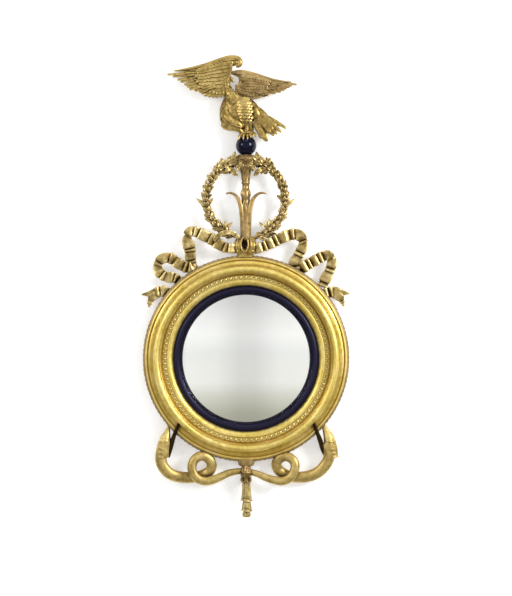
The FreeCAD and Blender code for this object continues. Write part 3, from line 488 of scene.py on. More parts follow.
def lacquer(name, base, sheen_colour, rough, tint, level):
    mat, tree, shader, place = new_finish(name)
    dust = noise(tree, place, 60.0, 5.0)
    colour = ramp(tree, dust, [(0.35, base), (0.75, sheen_colour)])
    gloss = ramp(tree, dust, [(0.3, rough), (0.7, rough + 0.10)])
    plugged(tree, shader, Base_Color=colour, Roughness=gloss, Specular_IOR_Level=level,
            Specular_Tint=(*tint, 1))
    bumped(tree, shader, noise(tree, place, 120.0, 3.0), 0.03, 0.2)
    return mat


slip_black = lacquer("ebonised_slip_polish", (0.0014, 0.0012, 0.0065), (0.0030, 0.0024, 0.0160), 0.36,
                     (0.60, 0.56, 0.95), 0.44)
ball_black = lacquer("black_ball_lacquer", (0.001, 0.001, 0.008), (0.003, 0.003, 0.014), 0.14,
                     (0.70, 0.72, 0.95), 0.30)


def plate_glass():
    mat, tree, shader, place = new_finish("old_plate_glass")
    tint = ramp(tree, noise(tree, place, 5.0), [(0.3, (0.985, 0.99, 0.985)), (0.7, (0.99, 0.99, 0.99))])
    plugged(tree, shader, Base_Color=tint, Roughness=0.0, IOR=1.5, Transmission_Weight=1.0)
    return mat


def tin_silver():
    mat, tree, shader, place = new_finish("tin_silvering")
    cloud = noise(tree, place, 14.0, 6.0)
    colour = ramp(tree, cloud, [(0.3, (0.93, 0.93, 0.915)), (0.7, (0.95, 0.95, 0.945))])
    gloss = ramp(tree, cloud, [(0.3, 0.02), (0.7, 0.04)])
    plugged(tree, shader, Base_Color=colour, Roughness=gloss, Metallic=1.0)
    return mat


def pine(name, light, dark, turn=0.0):
    mat, tree, shader, place = new_finish(name)
    grain = finish_node(tree, "Mapping", Vector=place, Scale=(55.0, 55.0, 3.0),
                        Rotation=(0, turn, 0))
    rings = noise(tree, grain.outputs["Vector"], 1.6, 6.0, 0.6)
    age = noise(tree, place, 7.0, 4.0)
    colour = ramp(tree, rings, [(0.35, dark), (0.5, light), (0.62, dark)])
    colour = blend(tree, ramp(tree, age, [(0.4, 0.0), (0.7, 0.45)]), colour, (0.16, 0.10, 0.055))
    plugged(tree, shader, Base_Color=colour, Roughness=0.82)
    bumped(tree, shader, rings, 0.4, 0.6)
    return mat


def metal(name, bright, dull, rough, grain):
    mat, tree, shader, place = new_finish(name)
    spots = noise(tree, place, grain, 6.0, 0.65)
    colour = ramp(tree, spots, [(0.35, dull), (0.65, bright)])
    gloss = ramp(tree, spots, [(0.3, rough + 0.15), (0.7, rough)])
    plugged(tree, shader, Base_Color=colour, Roughness=gloss, Metallic=1.0)
    bumped(tree, shader, spots, 0.3, 0.3)
    return mat


glass_finish = plate_glass()
silver_finish = tin_silver()
board_pine = pine("backboard_pine", (0.42, 0.27, 0.145), (0.27, 0.16, 0.08))
ring_pine = pine("frame_pine", (0.47, 0.31, 0.17), (0.30, 0.18, 0.09), math.pi / 2)
iron = metal("forged_iron", (0.10, 0.09, 0.085), (0.045, 0.032, 0.026), 0.5, 160.0)
steel = metal("dull_steel", (0.42, 0.41, 0.39), (0.22, 0.20, 0.18), 0.38, 260.0)
brass = metal("aged_brass", (0.62, 0.44, 0.17), (0.30, 0.19, 0.07), 0.30, 200.0)


def finished(obj, name, finish, nodes, body="mirror", angle=40):
    """Names a piece, gives it its finish, and has it ride on its body for its solids."""
    alone(obj)
    bpy.ops.object.shade_smooth_by_angle(angle=math.radians(angle))
    obj.name = name
    obj.data.materials.clear()
    obj.data.materials.append(finish)
    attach(obj, body)
    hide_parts(*nodes)
    return obj


def gilt(obj, name, nodes, finish=carved_gold, angle=50):
    return finished(obj, name, finish, nodes, angle=angle)


# ---------------------------------------------------------------- round frame

profile = [(191.5, 24), (191.5, 33.4)]
profile += arc((191.5, 33.4), (199.5, 42.4), (205.4, 43.2), 9)
profile += arc((205.4, 43.2), (206.9, 42.4), (207.5, 40.8), 3)
profile += [(207.5, 38), (213, 38), (218.5, 38), (218.5, 41.8), (219.0, 43.0)]
profile += arc((219.0, 43.0), (223.8, 38.6), (228.1, 44.6), 8)
profile += [(228.3, 46.2)]
profile += arc((228.3, 46.2), (235.2, 61.6), (243, 50.4), 16)
profile += arc((243, 50.4), (248.2, 39.2), (256.6, 33.9), 9)
profile += [(257.0, 31.2), (258.8, 31.2), (259.2, 34.2)]
profile += arc((259.2, 34.2), (261.9, 37.8), (264.8, 34.4), 6)
profile += [(265, 33.4), (265, 20), (202, 20), (202, 24), (191.5, 24)]
gilt(round_work(profile, 256), "moulding", ["frame_moulding"], leaf_gold, 32)

slip_line = [(SIGHT_R, GLASS_SEAT), (SIGHT_R, 28.4), (171.3, 29.4), (172.4, 29.4), (172.8, 28.9)]
slip_line += arc((172.8, 28.9), (181.2, 35.9), (189.6, 31.9), 12)
slip_line += [(189.9, 31.2), (191.2, 31.4), (191.2, 24), (201.4, 24), (201.4, 8), (179.4, 8),
              (179.4, GLASS_SEAT), (SIGHT_R, GLASS_SEAT)]
finished(round_work(slip_line, 192), "slip", slip_black, ["ebonised_slip"], angle=30)


def dome(front_r, rim_r, centre_h, thick, rings=30):
    """Thin cap of a hollow ball, its front and back lines joined at the rim."""
    turns = [math.asin(rim_r / front_r) * k / rings for k in range(rings + 1)]
    back_r = front_r - thick
    back = [math.asin(rim_r / back_r) * k / rings for k in range(rings, -1, -1)]
    points = [(front_r * math.sin(a), centre_h + front_r * math.cos(a)) for a in turns]
    points += [(back_r * math.sin(a), centre_h + back_r * math.cos(a)) for a in back]
    return round_work(points, 160)


SPHERE_R = (GLASS_R**2 + GLASS_RISE**2) / (2 * GLASS_RISE)
RISE_AT_SIGHT = math.sqrt(SPHERE_R**2 - SIGHT_R**2) - math.sqrt(SPHERE_R**2 - GLASS_R**2)
CENTRE_H = GLASS_SEAT - RISE_AT_SIGHT - GLASS_GAP + GLASS_RISE - SPHERE_R
finished(dome(SPHERE_R, GLASS_R, CENTRE_H, GLASS_THICK), "mirror_glass", glass_finish,
         ["convex_glass"], angle=20)
finished(dome(SPHERE_R - GLASS_THICK - GLASS_GAP, SILVER_R, CENTRE_H, SILVER_THICK), "mirror_silver",
         silver_finish, ["silvering"], angle=20)


def round_the_frame(unit, count):
    """Copies one carved unit round the frame's axis by an array turned about a pivot."""
    clear()
    bpy.ops.object.empty_add(location=(0, 0, 0), rotation=(0, 2 * math.pi / count, 0))
    pivot = bpy.context.object
    modified(unit, "ARRAY", count=count, use_relative_offset=False, use_object_offset=True,
             offset_object=pivot)
    dropped(pivot)
    return unit


def leaf_unit():
    """One slanted leaf of the carved band with the bud beside it."""
    lobe = strip([(-4.8, 0.8, -0.8), (-3.2, 2.2, 0.3), (-0.5, 2.9, 0.9), (2.4, 2.5, 0.8),
                  (4.2, 1.4, 0.2), (5.0, 0.5, -0.6)], rows=4, rib=0.7, thick=2.2)
    leaf = placed(lobe, at(0, -40.0, 213.0), Vector((0.45, 0, 0.89)), Vector((0, -1, 0)))
    dropped(lobe)
    bud = egg(at(6.2, -39.6, 211.2), (2.4, 1.6, 1.9), 8, 6)
    tip = egg(at(-5.4, -39.6, 215.4), (1.8, 1.3, 1.5), 8, 6)
    return joined([leaf, bud, tip])


band_floor = round_work([(207.6, 38.05), (218.4, 38.05), (218.4, 39.9), (213, 39.2),
                         (207.6, 39.9), (207.6, 38.05)], 200)
leaves = round_the_frame(leaf_unit(), LEAVES_ROUND)
gilt(joined([band_floor, leaves]), "leaf_band", ["leaf_band"], band_gold)


def twist_unit():
    """One turn of the twisted outer edge, a low rib laid slantwise over it."""
    rib = strip([(-7.6, 0.6, -0.9), (-4.6, 1.7, 0.1), (0, 2.1, 0.5), (4.6, 1.7, 0.1), (7.6, 0.6, -0.9)],
                rows=2, rib=0.5, thick=1.6)
    made = placed(rib, at(0, -29.6, 269.3), Vector((0.8, 0.55, 0.25)), Vector((0, -0.45, 0.9)))
    dropped(rib)
    return made


edge_line = [(265.1, 22.1), (270.2, 22.4)]
edge_line += arc((270.2, 22.4), (270.6, 28.4), (267.0, 33.8), 8) + [(265.1, 33.9), (265.1, 22.1)]
edge_back = round_work(edge_line, 200)
twists = round_the_frame(twist_unit(), TWISTS_ROUND)
gilt(joined([edge_back, twists]), "outer_twist", ["edge_band"], edge_gold)

# ---------------------------------------------------------------- stem, knot and ball

FRONT = Vector((0, -1, 0))
UP = Vector((0, 0, 1))


def ring_of_leaves(stations, rows, rib, thick, up, radius, turns):
    """Upright leaves of one shape round the stem, each turned by its angle from the front."""
    master = strip(stations, rows, rib, thick)
    made = []
    for turn in turns:
        a = math.radians(turn)
        out = Vector((math.sin(a), -math.cos(a), 0))
        made.append(placed(master, above(STEM_X, up) + out * radius * MM, UP, out))
    dropped(master)
    return made


stem_line = [(0, 26), (7, 26), (7, 40), (11.4, 40), (11.8, 60), (12.4, 90), (13.2, 112), (13.0, 126),
             (11.4, 138), (11.0, 148), (12.2, 152), (12.6, 168), (11.2, 170), (9.8, 172),
             (9.4, 179), (9.6, 185), (11.0, 187), (11.6, 189.5), (11.0, 192), (10.0, 194),
             (11.6, 208), (13.6, 220), (15.8, 230), (18.2, 240), (20.4, 247), (21.6, 250),
             (22.0, 253), (21.2, 256), (18.6, 258.5), (17.0, 262), (0, 262)]
stem_parts = [lathe_work(stem_line, STEM_X, CREST_Y, 40)]
all_round = range(0, 360, 45)
for leaf in (
    # sheath leaves, the leaves between them, neck leaves, capital leaves and the buds above
    ([(0, 5.6, 0), (22, 5.8, 0.6), (48, 6.4, 1.4), (68, 6.0, 2.2), (82, 4.2, 3.6), (92, 1.0, 6.0)],
     4, 1.3, 2.6, 38, 11.6, (-96, -48, 0, 48, 96)),
    ([(0, 3.6, 0), (30, 3.4, 0.2), (70, 3.0, 0.6), (92, 2.2, 1.6), (99, 0.7, 3.0)],
     2, 0.8, 2.2, 40, 11.2, (-72, -24, 24, 72)),
    ([(0, 2.8, 0), (12, 3.8, 0.8), (24, 4.6, 2.6), (34, 3.8, 5.2), (41, 1.2, 8.4)],
     4, -0.9, 2.2, 194, 10.0, all_round),
    ([(0, 4.6, 0), (9, 5.6, 1.6), (17, 6.2, 4.2), (23, 5.6, 7.6), (26, 4.0, 10.2), (25, 1.4, 12.2)],
     4, -1.1, 2.6, 222, 13.6, all_round),
    ([(0, 3.4, 0), (8, 4.0, 1.0), (15, 3.4, 2.8), (19, 1.2, 5.0)],
     2, 0.8, 2.2, 238, 17.6, range(22, 360, 45)),
):
    stem_parts += ring_of_leaves(*leaf)
for side in (-1, 1):
    stem_parts.append(tube([above(STEM_X + side * 9, 152, -36), above(STEM_X + side * 11, 160, -38),
                            above(STEM_X + side * 8, 168, -37)], [2.4, 3.4, 2.0]))
gilt(joined(stem_parts), "stem_carving", ["stem"], brown_gold)


def curling_leaf(side):
    """Leaf that peels off the sheath and curls out to the side, thick where it leaves it."""
    path = [above(STEM_X + side * x, up, y) for x, up, y in (
        (8, 78, -39), (10.5, 104, -40), (13, 126, -40), (18, 143, -39), (26, 155, -38),
        (36, 161.5, -36))]
    path += [above(side * 45, 162.5, -35), above(side * 53, 160.5, -34)]
    halves = ((0, 3.0), (20, 5.6), (42, 6.6), (58, 5.8), (72, 4.4), (84, 3.4), (94, 2.6), (100, 1.2))
    blade = strip([(x, half, 0) for x, half in halves], rows=4, rib=1.5, thick=5.0)
    bent = along_line(blade, path)
    bead = tube(path[4:], [2.4, 2.8, 2.2], 0.9)
    return joined([bent, bead])


gilt(curling_leaf(-1), "curling_leaf_left", ["stem_leaf_left"], brown_gold)
gilt(curling_leaf(1), "curling_leaf_right", ["stem_leaf_right"], brown_gold)

folds = [stacked([(above(KNOT_X, up), half, deep) for up, half, deep in (
    (-7, 23, 10.5), (3, 22, 10.5), (9, 17, 9.5), (34, 16, 9.5), (44, 11, 8))], 16)]
for x, reach in ((-20, 3.4), (-12.5, 5.5), (-5, 6.5), (3, 6.5), (10.5, 5.5), (17.5, 3.4)):
    folds.append(tube([above(STEM_X + x, -5, -30), above(STEM_X + x * 0.92, 8, -30 - reach),
                       above(STEM_X + x * 0.85, 26, -31 - reach),
                       above(STEM_X + x * 0.7, 40, -30 - reach / 2), above(STEM_X + x * 0.45, 48, -27)],
                      [4.0, 4.2, 4.4, 3.8, 2.6]))
for side in (-1, 1):
    for x, reach, thick in ((15, 5.0, 4.2), (22, 1.5, 4.4), (27, -2.0, 3.2)):
        folds.append(tube([above(KNOT_X + side * (x - 3), 6, -30 - reach),
                           above(KNOT_X + side * x, 15, -33 - reach),
                           above(KNOT_X + side * (x + 0.5), 25, -34 - reach),
                           above(KNOT_X + side * (x - 1.5), 36, -32 - reach),
                           above(KNOT_X + side * (x - 8), 45, -29)],
                          [2.4, thick, thick, thick - 0.6, 2.0]))
    folds.append(tube([above(KNOT_X + side * 10, 14, -36), above(KNOT_X + side * 19, 10, -37),
                       above(KNOT_X + side * 27, 7, -31)], [2.6, 3.4, 2.2]))
knot = fused(folds, 0.9, 1)
hollow = egg(above(CLASP_X, CLASP_UP, -46), (8.8, 11.5, 17.2), 24, 16)
modified(knot, "BOOLEAN", operation="DIFFERENCE", object=hollow)
dropped(hollow)
gilt(knot, "knot_folds", ["knot"])

clasp_points = [above(CLASP_X + 9.8 * math.cos(a), CLASP_UP + 18.4 * math.sin(a), -42.5)
                for a in (2 * math.pi * k / 12 for k in range(12))]
clasp_ring = tube(clasp_points, [3.0], closed=True, sides=16)
clasp_lip = tube([p + at(0, -2.6, 0) for p in clasp_points], [1.4], closed=True, sides=8)
# Dark cup inside the clasp ring: a sheet of painted shade filling the opening
shade_cup = egg(above(CLASP_X, CLASP_UP, -44.5), (8.4, 9.6, 16.8), 32, 20)
opened(shade_cup)
bpy.ops.mesh.bisect(plane_co=at(0, -43.5, 0), plane_no=(0, -1, 0), clear_outer=True)
shut(shade_cup)
modified(shade_cup, "SOLIDIFY", thickness=0.6 * MM, offset=1.0)
finished(shade_cup, "clasp_shade_cup", shade_dark_gilding, ["clasp"])
gilt(joined([clasp_ring, clasp_lip]), "clasp_ring", ["clasp"])

ball_line = [(ROD_HOLE_R, BALL_UP + HOLE_INNER), (ROD_HOLE_R, BALL_UP + HOLE_EDGE)]
ball_line += arc(ball_line[-1], (BALL_R, BALL_UP), (ROD_HOLE_R, BALL_UP - HOLE_EDGE), 36)
ball_line += [(ROD_HOLE_R, BALL_UP - HOLE_INNER)]
finished(lathe_work(ball_line, 0, CREST_Y, 72), "black_ball", ball_black, ["ball"],
         angle=60)

# ---------------------------------------------------------------- laurel wreath

LAUREL_L = 24.5
laurel = strip([(0, 0.9, 0), (4, 3.4, 1.4), (10, 5.2, 2.4), (16, 4.7, 2.0), (21, 2.7, 0.6),
                (LAUREL_L, 0.6, -1.0)], rows=4, rib=-1.3, thick=2.4)


def wreath_point(angle, out, y):
    a = math.radians(angle)
    r = WREATH_R + out
    return above(STEM_X + r * math.sin(a), WREATH_UP - r * math.cos(a), y)


def laurel_at(root, way, facing, length, width=1.0):
    return placed(laurel, root, way, facing, length / LAUREL_L, width, width)


PAIRS = 19
FIRST_PAIR = 17.0
PAIR_STEP = 7.4
BRANCH_END = 158.0
# leaf tips as (angle from the foot, distance from the ring), for the left and the right branch
tips = {
    -1: [(145, 19), (116, 13), (107, 12), (99, 16), (91, 27), (84, 12), (75, 9), (65, 17), (55, 10),
         (45, 9), (34, 10), (148, -21), (132, -9), (108, -9), (92, -17), (80, -8), (70, -11), (57, -10),
         (44, -24), (38, -22), (32, -9), (157, 16), (128, 12), (138, 13), (123, -8)],
    1: [(154, 20), (146, 18), (141, 12), (116, 13), (124, 10), (133, 11), (107, 9), (96, 8), (91, 25),
        (84, 12), (76, 8), (67, 16), (54, 13), (60, 9), (44, 9), (34, 9), (153, -23), (140, -9),
        (121, -7), (108, -8), (98, -21), (86, -9), (66, -8), (76, -7), (50, -23), (44, -21), (33, -9)]}
# leaves as (x, up, run across, run upwards): over the capital, before it and at the foot
crown_leaves = [(50, 236, -12, 20), (44, 240, -24, 4), (36, 238, -8, 32), (30, 236, -18, 10),
                (56, 232, 8, 22), (34, 246, -18, 14), (28, 240, 12, 20), (46, 228, -20, -10),
                (40, 232, 14, -14), (26, 250, -12, 12), (58, 222, 14, 8), (38, 224, -16, -16)]
capital_leaves = [(19, 231, -13, 9), (21, 243, -15, -5), (12, 224, -4, 17), (17, 252, -9, -15),
                  (24, 236, -6, -16), (9, 246, -6, -17)]
foot_leaves = [(57, 66, -5, 24), (52, 70, -13, 12), (60, 74, 8, 13)]


def branch(side, foot):
    """Laurel branch: twig, leaves on both edges and along its face, and a dense top."""
    path = [wreath_point(side * (foot + (BRANCH_END - foot) * k / 12), (0.9, -0.8, 0.3)[k % 3],
                         CREST_Y) for k in range(13)]
    made = [tube(path, [3.6, 4.4, 4.0, 3.4, 2.6], 0.9)]
    for k, (angle, out) in enumerate(tips[side]):
        tip = wreath_point(side * angle, out, CREST_Y - 5 + 4 * (k % 3))
        root = wreath_point(side * (angle - 9 - 0.12 * abs(out)), out * 0.06, CREST_Y - 2)
        facing = FRONT + Vector((draw.uniform(-0.5, 0.5), 0, draw.uniform(-0.5, 0.5)))
        made.append(laurel_at(root, tip - root, facing, (tip - root).length / MM,
                              draw.uniform(1.05, 1.35)))
    for k in range(PAIRS):
        angle = FIRST_PAIR + k * PAIR_STEP
        a = math.radians(angle)
        along = Vector((side * math.cos(a), 0, math.sin(a)))
        away = Vector((side * math.sin(a), 0, -math.cos(a)))
        for sign, depth in ((1, -2.0), (-1, 0.5)):
            lean = draw.uniform(0.35, 0.95) * sign
            clump = 0.72 + 0.42 * abs(math.sin(1.25 * k + sign))
            root = wreath_point(side * (angle + 2 * sign), sign, CREST_Y + depth)
            facing = FRONT + away * draw.uniform(-0.7, 0.7) + along * draw.uniform(-0.4, 0.4)
            made.append(laurel_at(root, along + away * lean + FRONT * draw.uniform(-0.2, 0.3), facing,
                                  draw.uniform(16, 21) * clump, draw.uniform(1.0, 1.3) * clump))
        if k % 3 == 0:
            rear = wreath_point(side * angle, 0, CREST_Y + 3.0)
            made.append(laurel_at(rear, along - away * 0.3 - FRONT * 0.3, -FRONT + along * 0.2, 15, 0.8))
        root = wreath_point(side * (angle + 2), draw.uniform(-2, 2), CREST_Y - 3.4)
        made.append(laurel_at(root, along + away * draw.uniform(-0.5, 0.5) + FRONT * 0.45,
                              FRONT - along * 0.4, 17, 1.05))
    for x, up, dx, dup in crown_leaves:
        root = above(STEM_X + side * x, up, CREST_Y - 2)
        way = Vector((side * dx, draw.uniform(-9, 3), dup))
        made.append(laurel_at(root, way, FRONT + UP * draw.uniform(-0.4, 0.5), way.length * 1.05, 1.4))
        way = Vector((-side * dx * 0.8, draw.uniform(2, 8), -dup * 0.7 - 3))
        made.append(laurel_at(root + at(0, 5, 0), way, -FRONT, way.length, 1.2))
    for x, up, dx, dup in capital_leaves:
        root = above(STEM_X + side * x, up, CREST_Y - 13)
        made.append(laurel_at(root, Vector((side * dx, -2, dup)), FRONT + UP * 0.2, 19, 1.25))
    for x, up, dx, dup in foot_leaves:
        root = above(STEM_X + side * x, up, CREST_Y - 2)
        made.append(laurel_at(root, Vector((side * dx, -3, dup)), FRONT, 24, 0.9))
    for angle in (40, 64, 90, 112, 135):
        root = wreath_point(side * angle, 4, CREST_Y - 6)
        made.append(egg(root, (2.2, 2.2, 2.2), 8, 6))
    return joined(made)


gilt(branch(-1, 4), "laurel_left", ["wreath_left"], wreath_gold)
gilt(branch(1, 3), "laurel_right", ["wreath_right"], wreath_gold)
dropped(laurel)

# ---------------------------------------------------------------- ribbons


def pleated(length, widest, pleat=27.0, depth=7.5, thick=4.0, seed=1):
    """Straight ribbon in panels: each one climbs to its crest, then falls, steeply or gently."""
    pick_pleat = random.Random(seed)
    stations = [(0.0, widest * 0.92, 0.0)]
    x, count = 0.0, 0
    while x < length - 5:
        share = pick_pleat.uniform(0.35, 0.6) if count % 2 else pick_pleat.uniform(0.75, 1.3)
        reach = min(pleat * share, length - x)
        high = depth * pick_pleat.uniform(0.6, 1.05)
        wide = widest * pick_pleat.uniform(0.96, 1.1)
        crest = pick_pleat.choice((0.90, 0.70, 0.58))
        stations += [(x + reach * 0.08, widest * 0.92, -0.4),
                     (x + reach * crest * 0.45, wide * 0.97, high * 0.5),
                     (x + reach * crest * 0.82, wide, high * 0.95),
                     (x + reach * crest, wide * 1.01, high),
                     (x + reach * (crest + 0.985) / 2, wide, high * 0.65),
                     (x + reach * 0.985, widest * 0.9, -1.0)]
        x += reach
        count += 1
    return strip(stations, rows=4, rib=-0.5, thick=thick)


def ribbon(points, widths, ys, seed, **pleats):
    """Pleated ribbon bent along polar points; widths are half widths in millimetres."""
    path = [polar(a, out, y) for (a, out), y in zip(points, spread(ys, len(points)))]
    length = sum((b - a).length for a, b in zip(path, path[1:])) / MM
    widest = max(widths)
    radii = [w / widest for w in widths]
    return along_line(pleated(length, widest, seed=seed, **pleats), path, radii)


def rolled_fold(points, radius):
    """Rounded turn-over where a ribbon doubles back."""
    return tube([polar(*point) for point in points], [radius * 0.55, radius, radius * 0.55], 0.75)


def band(name, node, parts, folds_at=(), **pleats):
    """Gilt ribbon of bent stretches (polar points, half widths, depths) and its turn-overs."""
    made = [ribbon(*part, seed=7 * k + len(name), **pleats) for k, part in enumerate(parts)]
    made += [rolled_fold(points, radius) for points, radius in folds_at]
    return gilt(joined(made), name, [node], ribbon_gold, 35)


band("ribbon_left_arch", "ribbon_left_inner", [
    ([(-4.7, 16), (-8.3, 20), (-11.2, 26), (-14.1, 41), (-16.3, 55), (-18.9, 69), (-21.2, 84),
      (-23.3, 92), (-26.1, 86)],
     [12, 13, 14.5, 15.5, 16, 16, 15.5, 14, 11], [-30, -34, -30, -24]),
    ([(-25.5, 87), (-26.5, 75), (-26.9, 59), (-27.7, 44), (-29.2, 27), (-29.6, 4), (-28.8, -16)],
     [10, 14, 16, 16, 15, 10, 9], [-22, -24, -18, HOLD_Y, HOLD_Y]),
], [(((-22.6, 96, -20), (-24.8, 90, -22), (-26.2, 78, -20)), 5.0)])
band("ribbon_right_arch", "ribbon_right_inner", [
    ([(3.7, 13), (7.7, 23), (10.5, 31), (13.0, 42), (16.2, 57), (19.2, 71), (21.9, 80), (24.4, 78),
      (26.7, 67)],
     [12, 13, 14.5, 15.5, 15.5, 15.5, 15, 14, 11], [-30, -34, -30, -24]),
    ([(25.7, 73), (26.7, 58), (26.9, 41), (26.9, 24), (26.9, 6), (29.7, -7)],
     [11, 14, 15, 15, 14, 12], [-22, -22, -18, HOLD_Y, HOLD_Y]),
], [(((21.4, 84, -20), (23.8, 79, -22), (25.8, 68, -20)), 5.0)])
band("ribbon_left_curl", "ribbon_left_outer", [
    ([(-28.1, 6), (-31.6, 8), (-34.3, 22), (-35.7, 38), (-36.6, 54), (-38.4, 66), (-41.1, 71),
      (-43.9, 65)],
     [13, 15, 15, 15, 15, 15, 14, 11], [HOLD_Y, -24, -28, -22]),
    ([(-42.7, 73), (-44.7, 58), (-45.2, 43), (-44.1, 26), (-42.0, 14), (-40.8, -3), (-41.3, -26)],
     [10, 13, 14, 14.5, 14.5, 13, 12], [-20, -22, HOLD_Y, HOLD_Y]),
], [(((-39.8, 78, -20), (-42.2, 72, -22), (-44.0, 58, -20)), 4.5)])
band("ribbon_right_curl", "ribbon_right_outer", [
    ([(30.9, -1), (32.5, 16), (34.6, 37), (36.5, 59), (38.5, 74), (40.8, 73)],
     [14, 15, 15, 15, 14, 11], [HOLD_Y, -24, -28, -22]),
    ([(39.7, 78), (41.7, 67), (43.5, 48), (44.8, 26), (46.7, 2)],
     [11, 14, 14.5, 14.5, 13], [-18, -22, HOLD_Y, HOLD_Y]),
], [(((38.8, 84, -20), (41.2, 77, -22), (42.8, 64, -20)), 4.5)])
band("ribbon_left_end", "ribbon_left_tail", [
    ([(-49.6, -16), (-50.7, 6), (-53.0, 20), (-55.9, 32), (-58.6, 51)], [13, 15, 14, 9, 2],
     [HOLD_Y, -20, -16]),
    ([(-52.9, 14), (-56.6, 22), (-59.7, 21), (-62.3, 18)], [12, 12, 8, 2.5], [-20, -14]),
])
band("ribbon_right_end", "ribbon_right_tail", [
    ([(49.4, -16), (51.5, 6), (52.8, 20), (55.5, 34), (57.9, 49)], [13, 15, 14, 9, 2],
     [HOLD_Y, -20, -16]),
    ([(52.6, 12), (56.1, 21), (58.8, 22), (62.0, 19)], [12, 12, 8, 2.5], [-20, -14]),
])
band("bow_loop_left", "bow_left", [
    ([(-2.6, 36), (-4.6, 52), (-7.2, 61), (-10.4, 62), (-13.6, 56), (-15.4, 47)],
     [4, 5, 6.5, 7, 6.5, 5], [-34, -41, -42, -38])], pleat=24.0, depth=1.2)
band("bow_loop_right", "bow_right", [
    ([(2.0, 37), (5.2, 49), (7.7, 58), (10.8, 63), (13.0, 61), (14.2, 50)],
     [4, 5, 6.5, 7, 6.5, 5], [-26, -18, -18, -24])], pleat=24.0, depth=1.2)

# ---------------------------------------------------------------- eagle

plume = strip([(0, 0.50, 0), (25, 0.90, 0.6), (55, 1.0, 0.8), (74, 0.86, 0.5), (88, 0.56, 0.1),
               (96, 0.27, -0.1), (100, 0.06, -0.3)], rows=4, rib=0.9, thick=2.4)
scale = strip([(0, 0.6, 0), (7, 0.95, 0.8), (13, 1.0, 1.3), (17.5, 0.72, 1.0), (20, 0.2, 0.1)],
              rows=4, rib=0.9, thick=2.2)
PLUME_L = 100.0
SCALE_L = 20.0


def plume_at(root, tip, half, facing=FRONT, thick=1.0):
    """Long feather from root to tip; half is its half width in millimetres."""
    way = tip - root
    return placed(plume, root, way, facing, way.length / (PLUME_L * MM), half, thick)


def scale_at(root, way, facing, length, half, relief=0.6):
    return placed(scale, root, way, facing, length / SCALE_L, half, relief)


def between(points, share):
    """Point on a run of points at a share of its length."""
    place = min(max(share, 0.0), 1.0) * (len(points) - 1)
    k = min(int(place), len(points) - 2)
    return points[k].lerp(points[k + 1], place - k)


def cut_board(outline, y, thick):
    """Thin backing board of a wing: a ring of points moved to its outline and drawn back."""
    clear()
    bpy.ops.mesh.primitive_circle_add(vertices=len(outline), radius=1, fill_type="NGON")
    obj = bpy.context.object
    bpy.ops.object.mode_set(mode="EDIT")
    for k, (x, up) in enumerate(outline):
        bpy.ops.mesh.select_all(action="DESELECT")
        work = bmesh.from_edit_mesh(obj.data)
        work.verts.ensure_lookup_table()
        start = work.verts[k].co.copy()
        work.verts[k].select_set(True)
        bpy.ops.transform.translate(value=bird(x, up, y) - start)
    bpy.ops.mesh.select_all(action="SELECT")
    bpy.ops.mesh.extrude_region_move(TRANSFORM_OT_translate={"value": (0, thick * MM, 0)})
    return cleaned(shut(obj))


def wing(arm, trailing, primaries, secondaries, board, rows, arm_radii, roots):
    """Wing from the back forwards: board, long feathers, rows of scales and the rolled arm.

    Primaries are (tip x, tip up, half width), and their roots run between the two roots.
    Secondaries are (tip x, tip up, root off across, root off upwards, half width).
    Rows are (share from the trailing edge, count, length, half width, depth, start, end).
    """
    made = [cut_board(board, 6, 5)]
    first, last = roots
    for k, (x, up, half) in enumerate(primaries):
        share = k / (len(primaries) - 1)
        root = bird(*[a + (b - a) * share for a, b in zip(first, last)], 3.5 - 0.9 * k)
        tip = bird(x, up, 3 - 0.8 * k)
        made.append(plume_at(root, tip, half, FRONT + UP * 0.3, 0.7))
        made.append(plume_at(root + at(0, 4, 0), tip + at(0, 3, 2.0), half * 0.8, -FRONT + UP * 0.1,
                             0.7))
        cover = root.lerp(tip, 0.56 + 0.04 * (k % 3)) + at(0, -3.6, 0.6)
        made.append(plume_at(root + at(0, -3.5, 0), cover, half * 0.8, FRONT + UP * 0.5, 0.8))
    for k, (x, up, dx, dup, half) in enumerate(secondaries):
        made.append(plume_at(bird(x + dx, up + dup, -1), bird(x, up, 1.5 - k * 0.5), half,
                             FRONT + UP * 0.3, 1.2))
        made.append(plume_at(bird(x + dx, up + dup, 8), bird(x, up, 5.5), half, -FRONT, 1.2))
        made.append(plume_at(bird(x + dx * 1.1, up + dup * 1.1, -4),
                             bird(x + 5 + dx * 0.3, up + 7, -4.5), half * 0.7, FRONT + UP * 0.4, 0.9))
    arm_line = [bird(x, up) for x, up in arm]
    low_line = [bird(x, up) for x, up in trailing]
    out_way = (arm_line[0] - arm_line[-1]).normalized()
    for row, (low, count, length, half, y, start, end) in enumerate(rows):
        for k in range(count):
            share = start + (end - start) * (k + 0.5 * (row % 2)) / (count - 0.5)
            top = between(arm_line, share)
            foot = between(low_line, share)
            root = foot.lerp(top, low) + at(0, y, 0)
            way = (foot - top).normalized() + out_way * (1.9 - 1.3 * share)
            size = length * draw.uniform(0.9, 1.08)
            made.append(scale_at(root, way + FRONT * 0.10, FRONT + UP * 0.2, size, half))
            if row % 2 == 0:
                made.append(scale_at(root + at(0, 14 - y * 0.4, 0), way, -FRONT, size * 1.5,
                                     half * 1.5))
    made.append(tube(arm_line, arm_radii, 0.85, resolution=4))
    for k in range(12):
        share = 0.36 + k * 0.045
        inward = between(arm_line, share + 0.06)
        root = inward + at(0, -3.6 - 2.0 * share, -1.5)
        way = between(arm_line, share) - inward
        made.append(scale_at(root, way - UP * 0.3 * way.length, FRONT + UP * 0.5, 11, 3.4, 0.5))
    return made


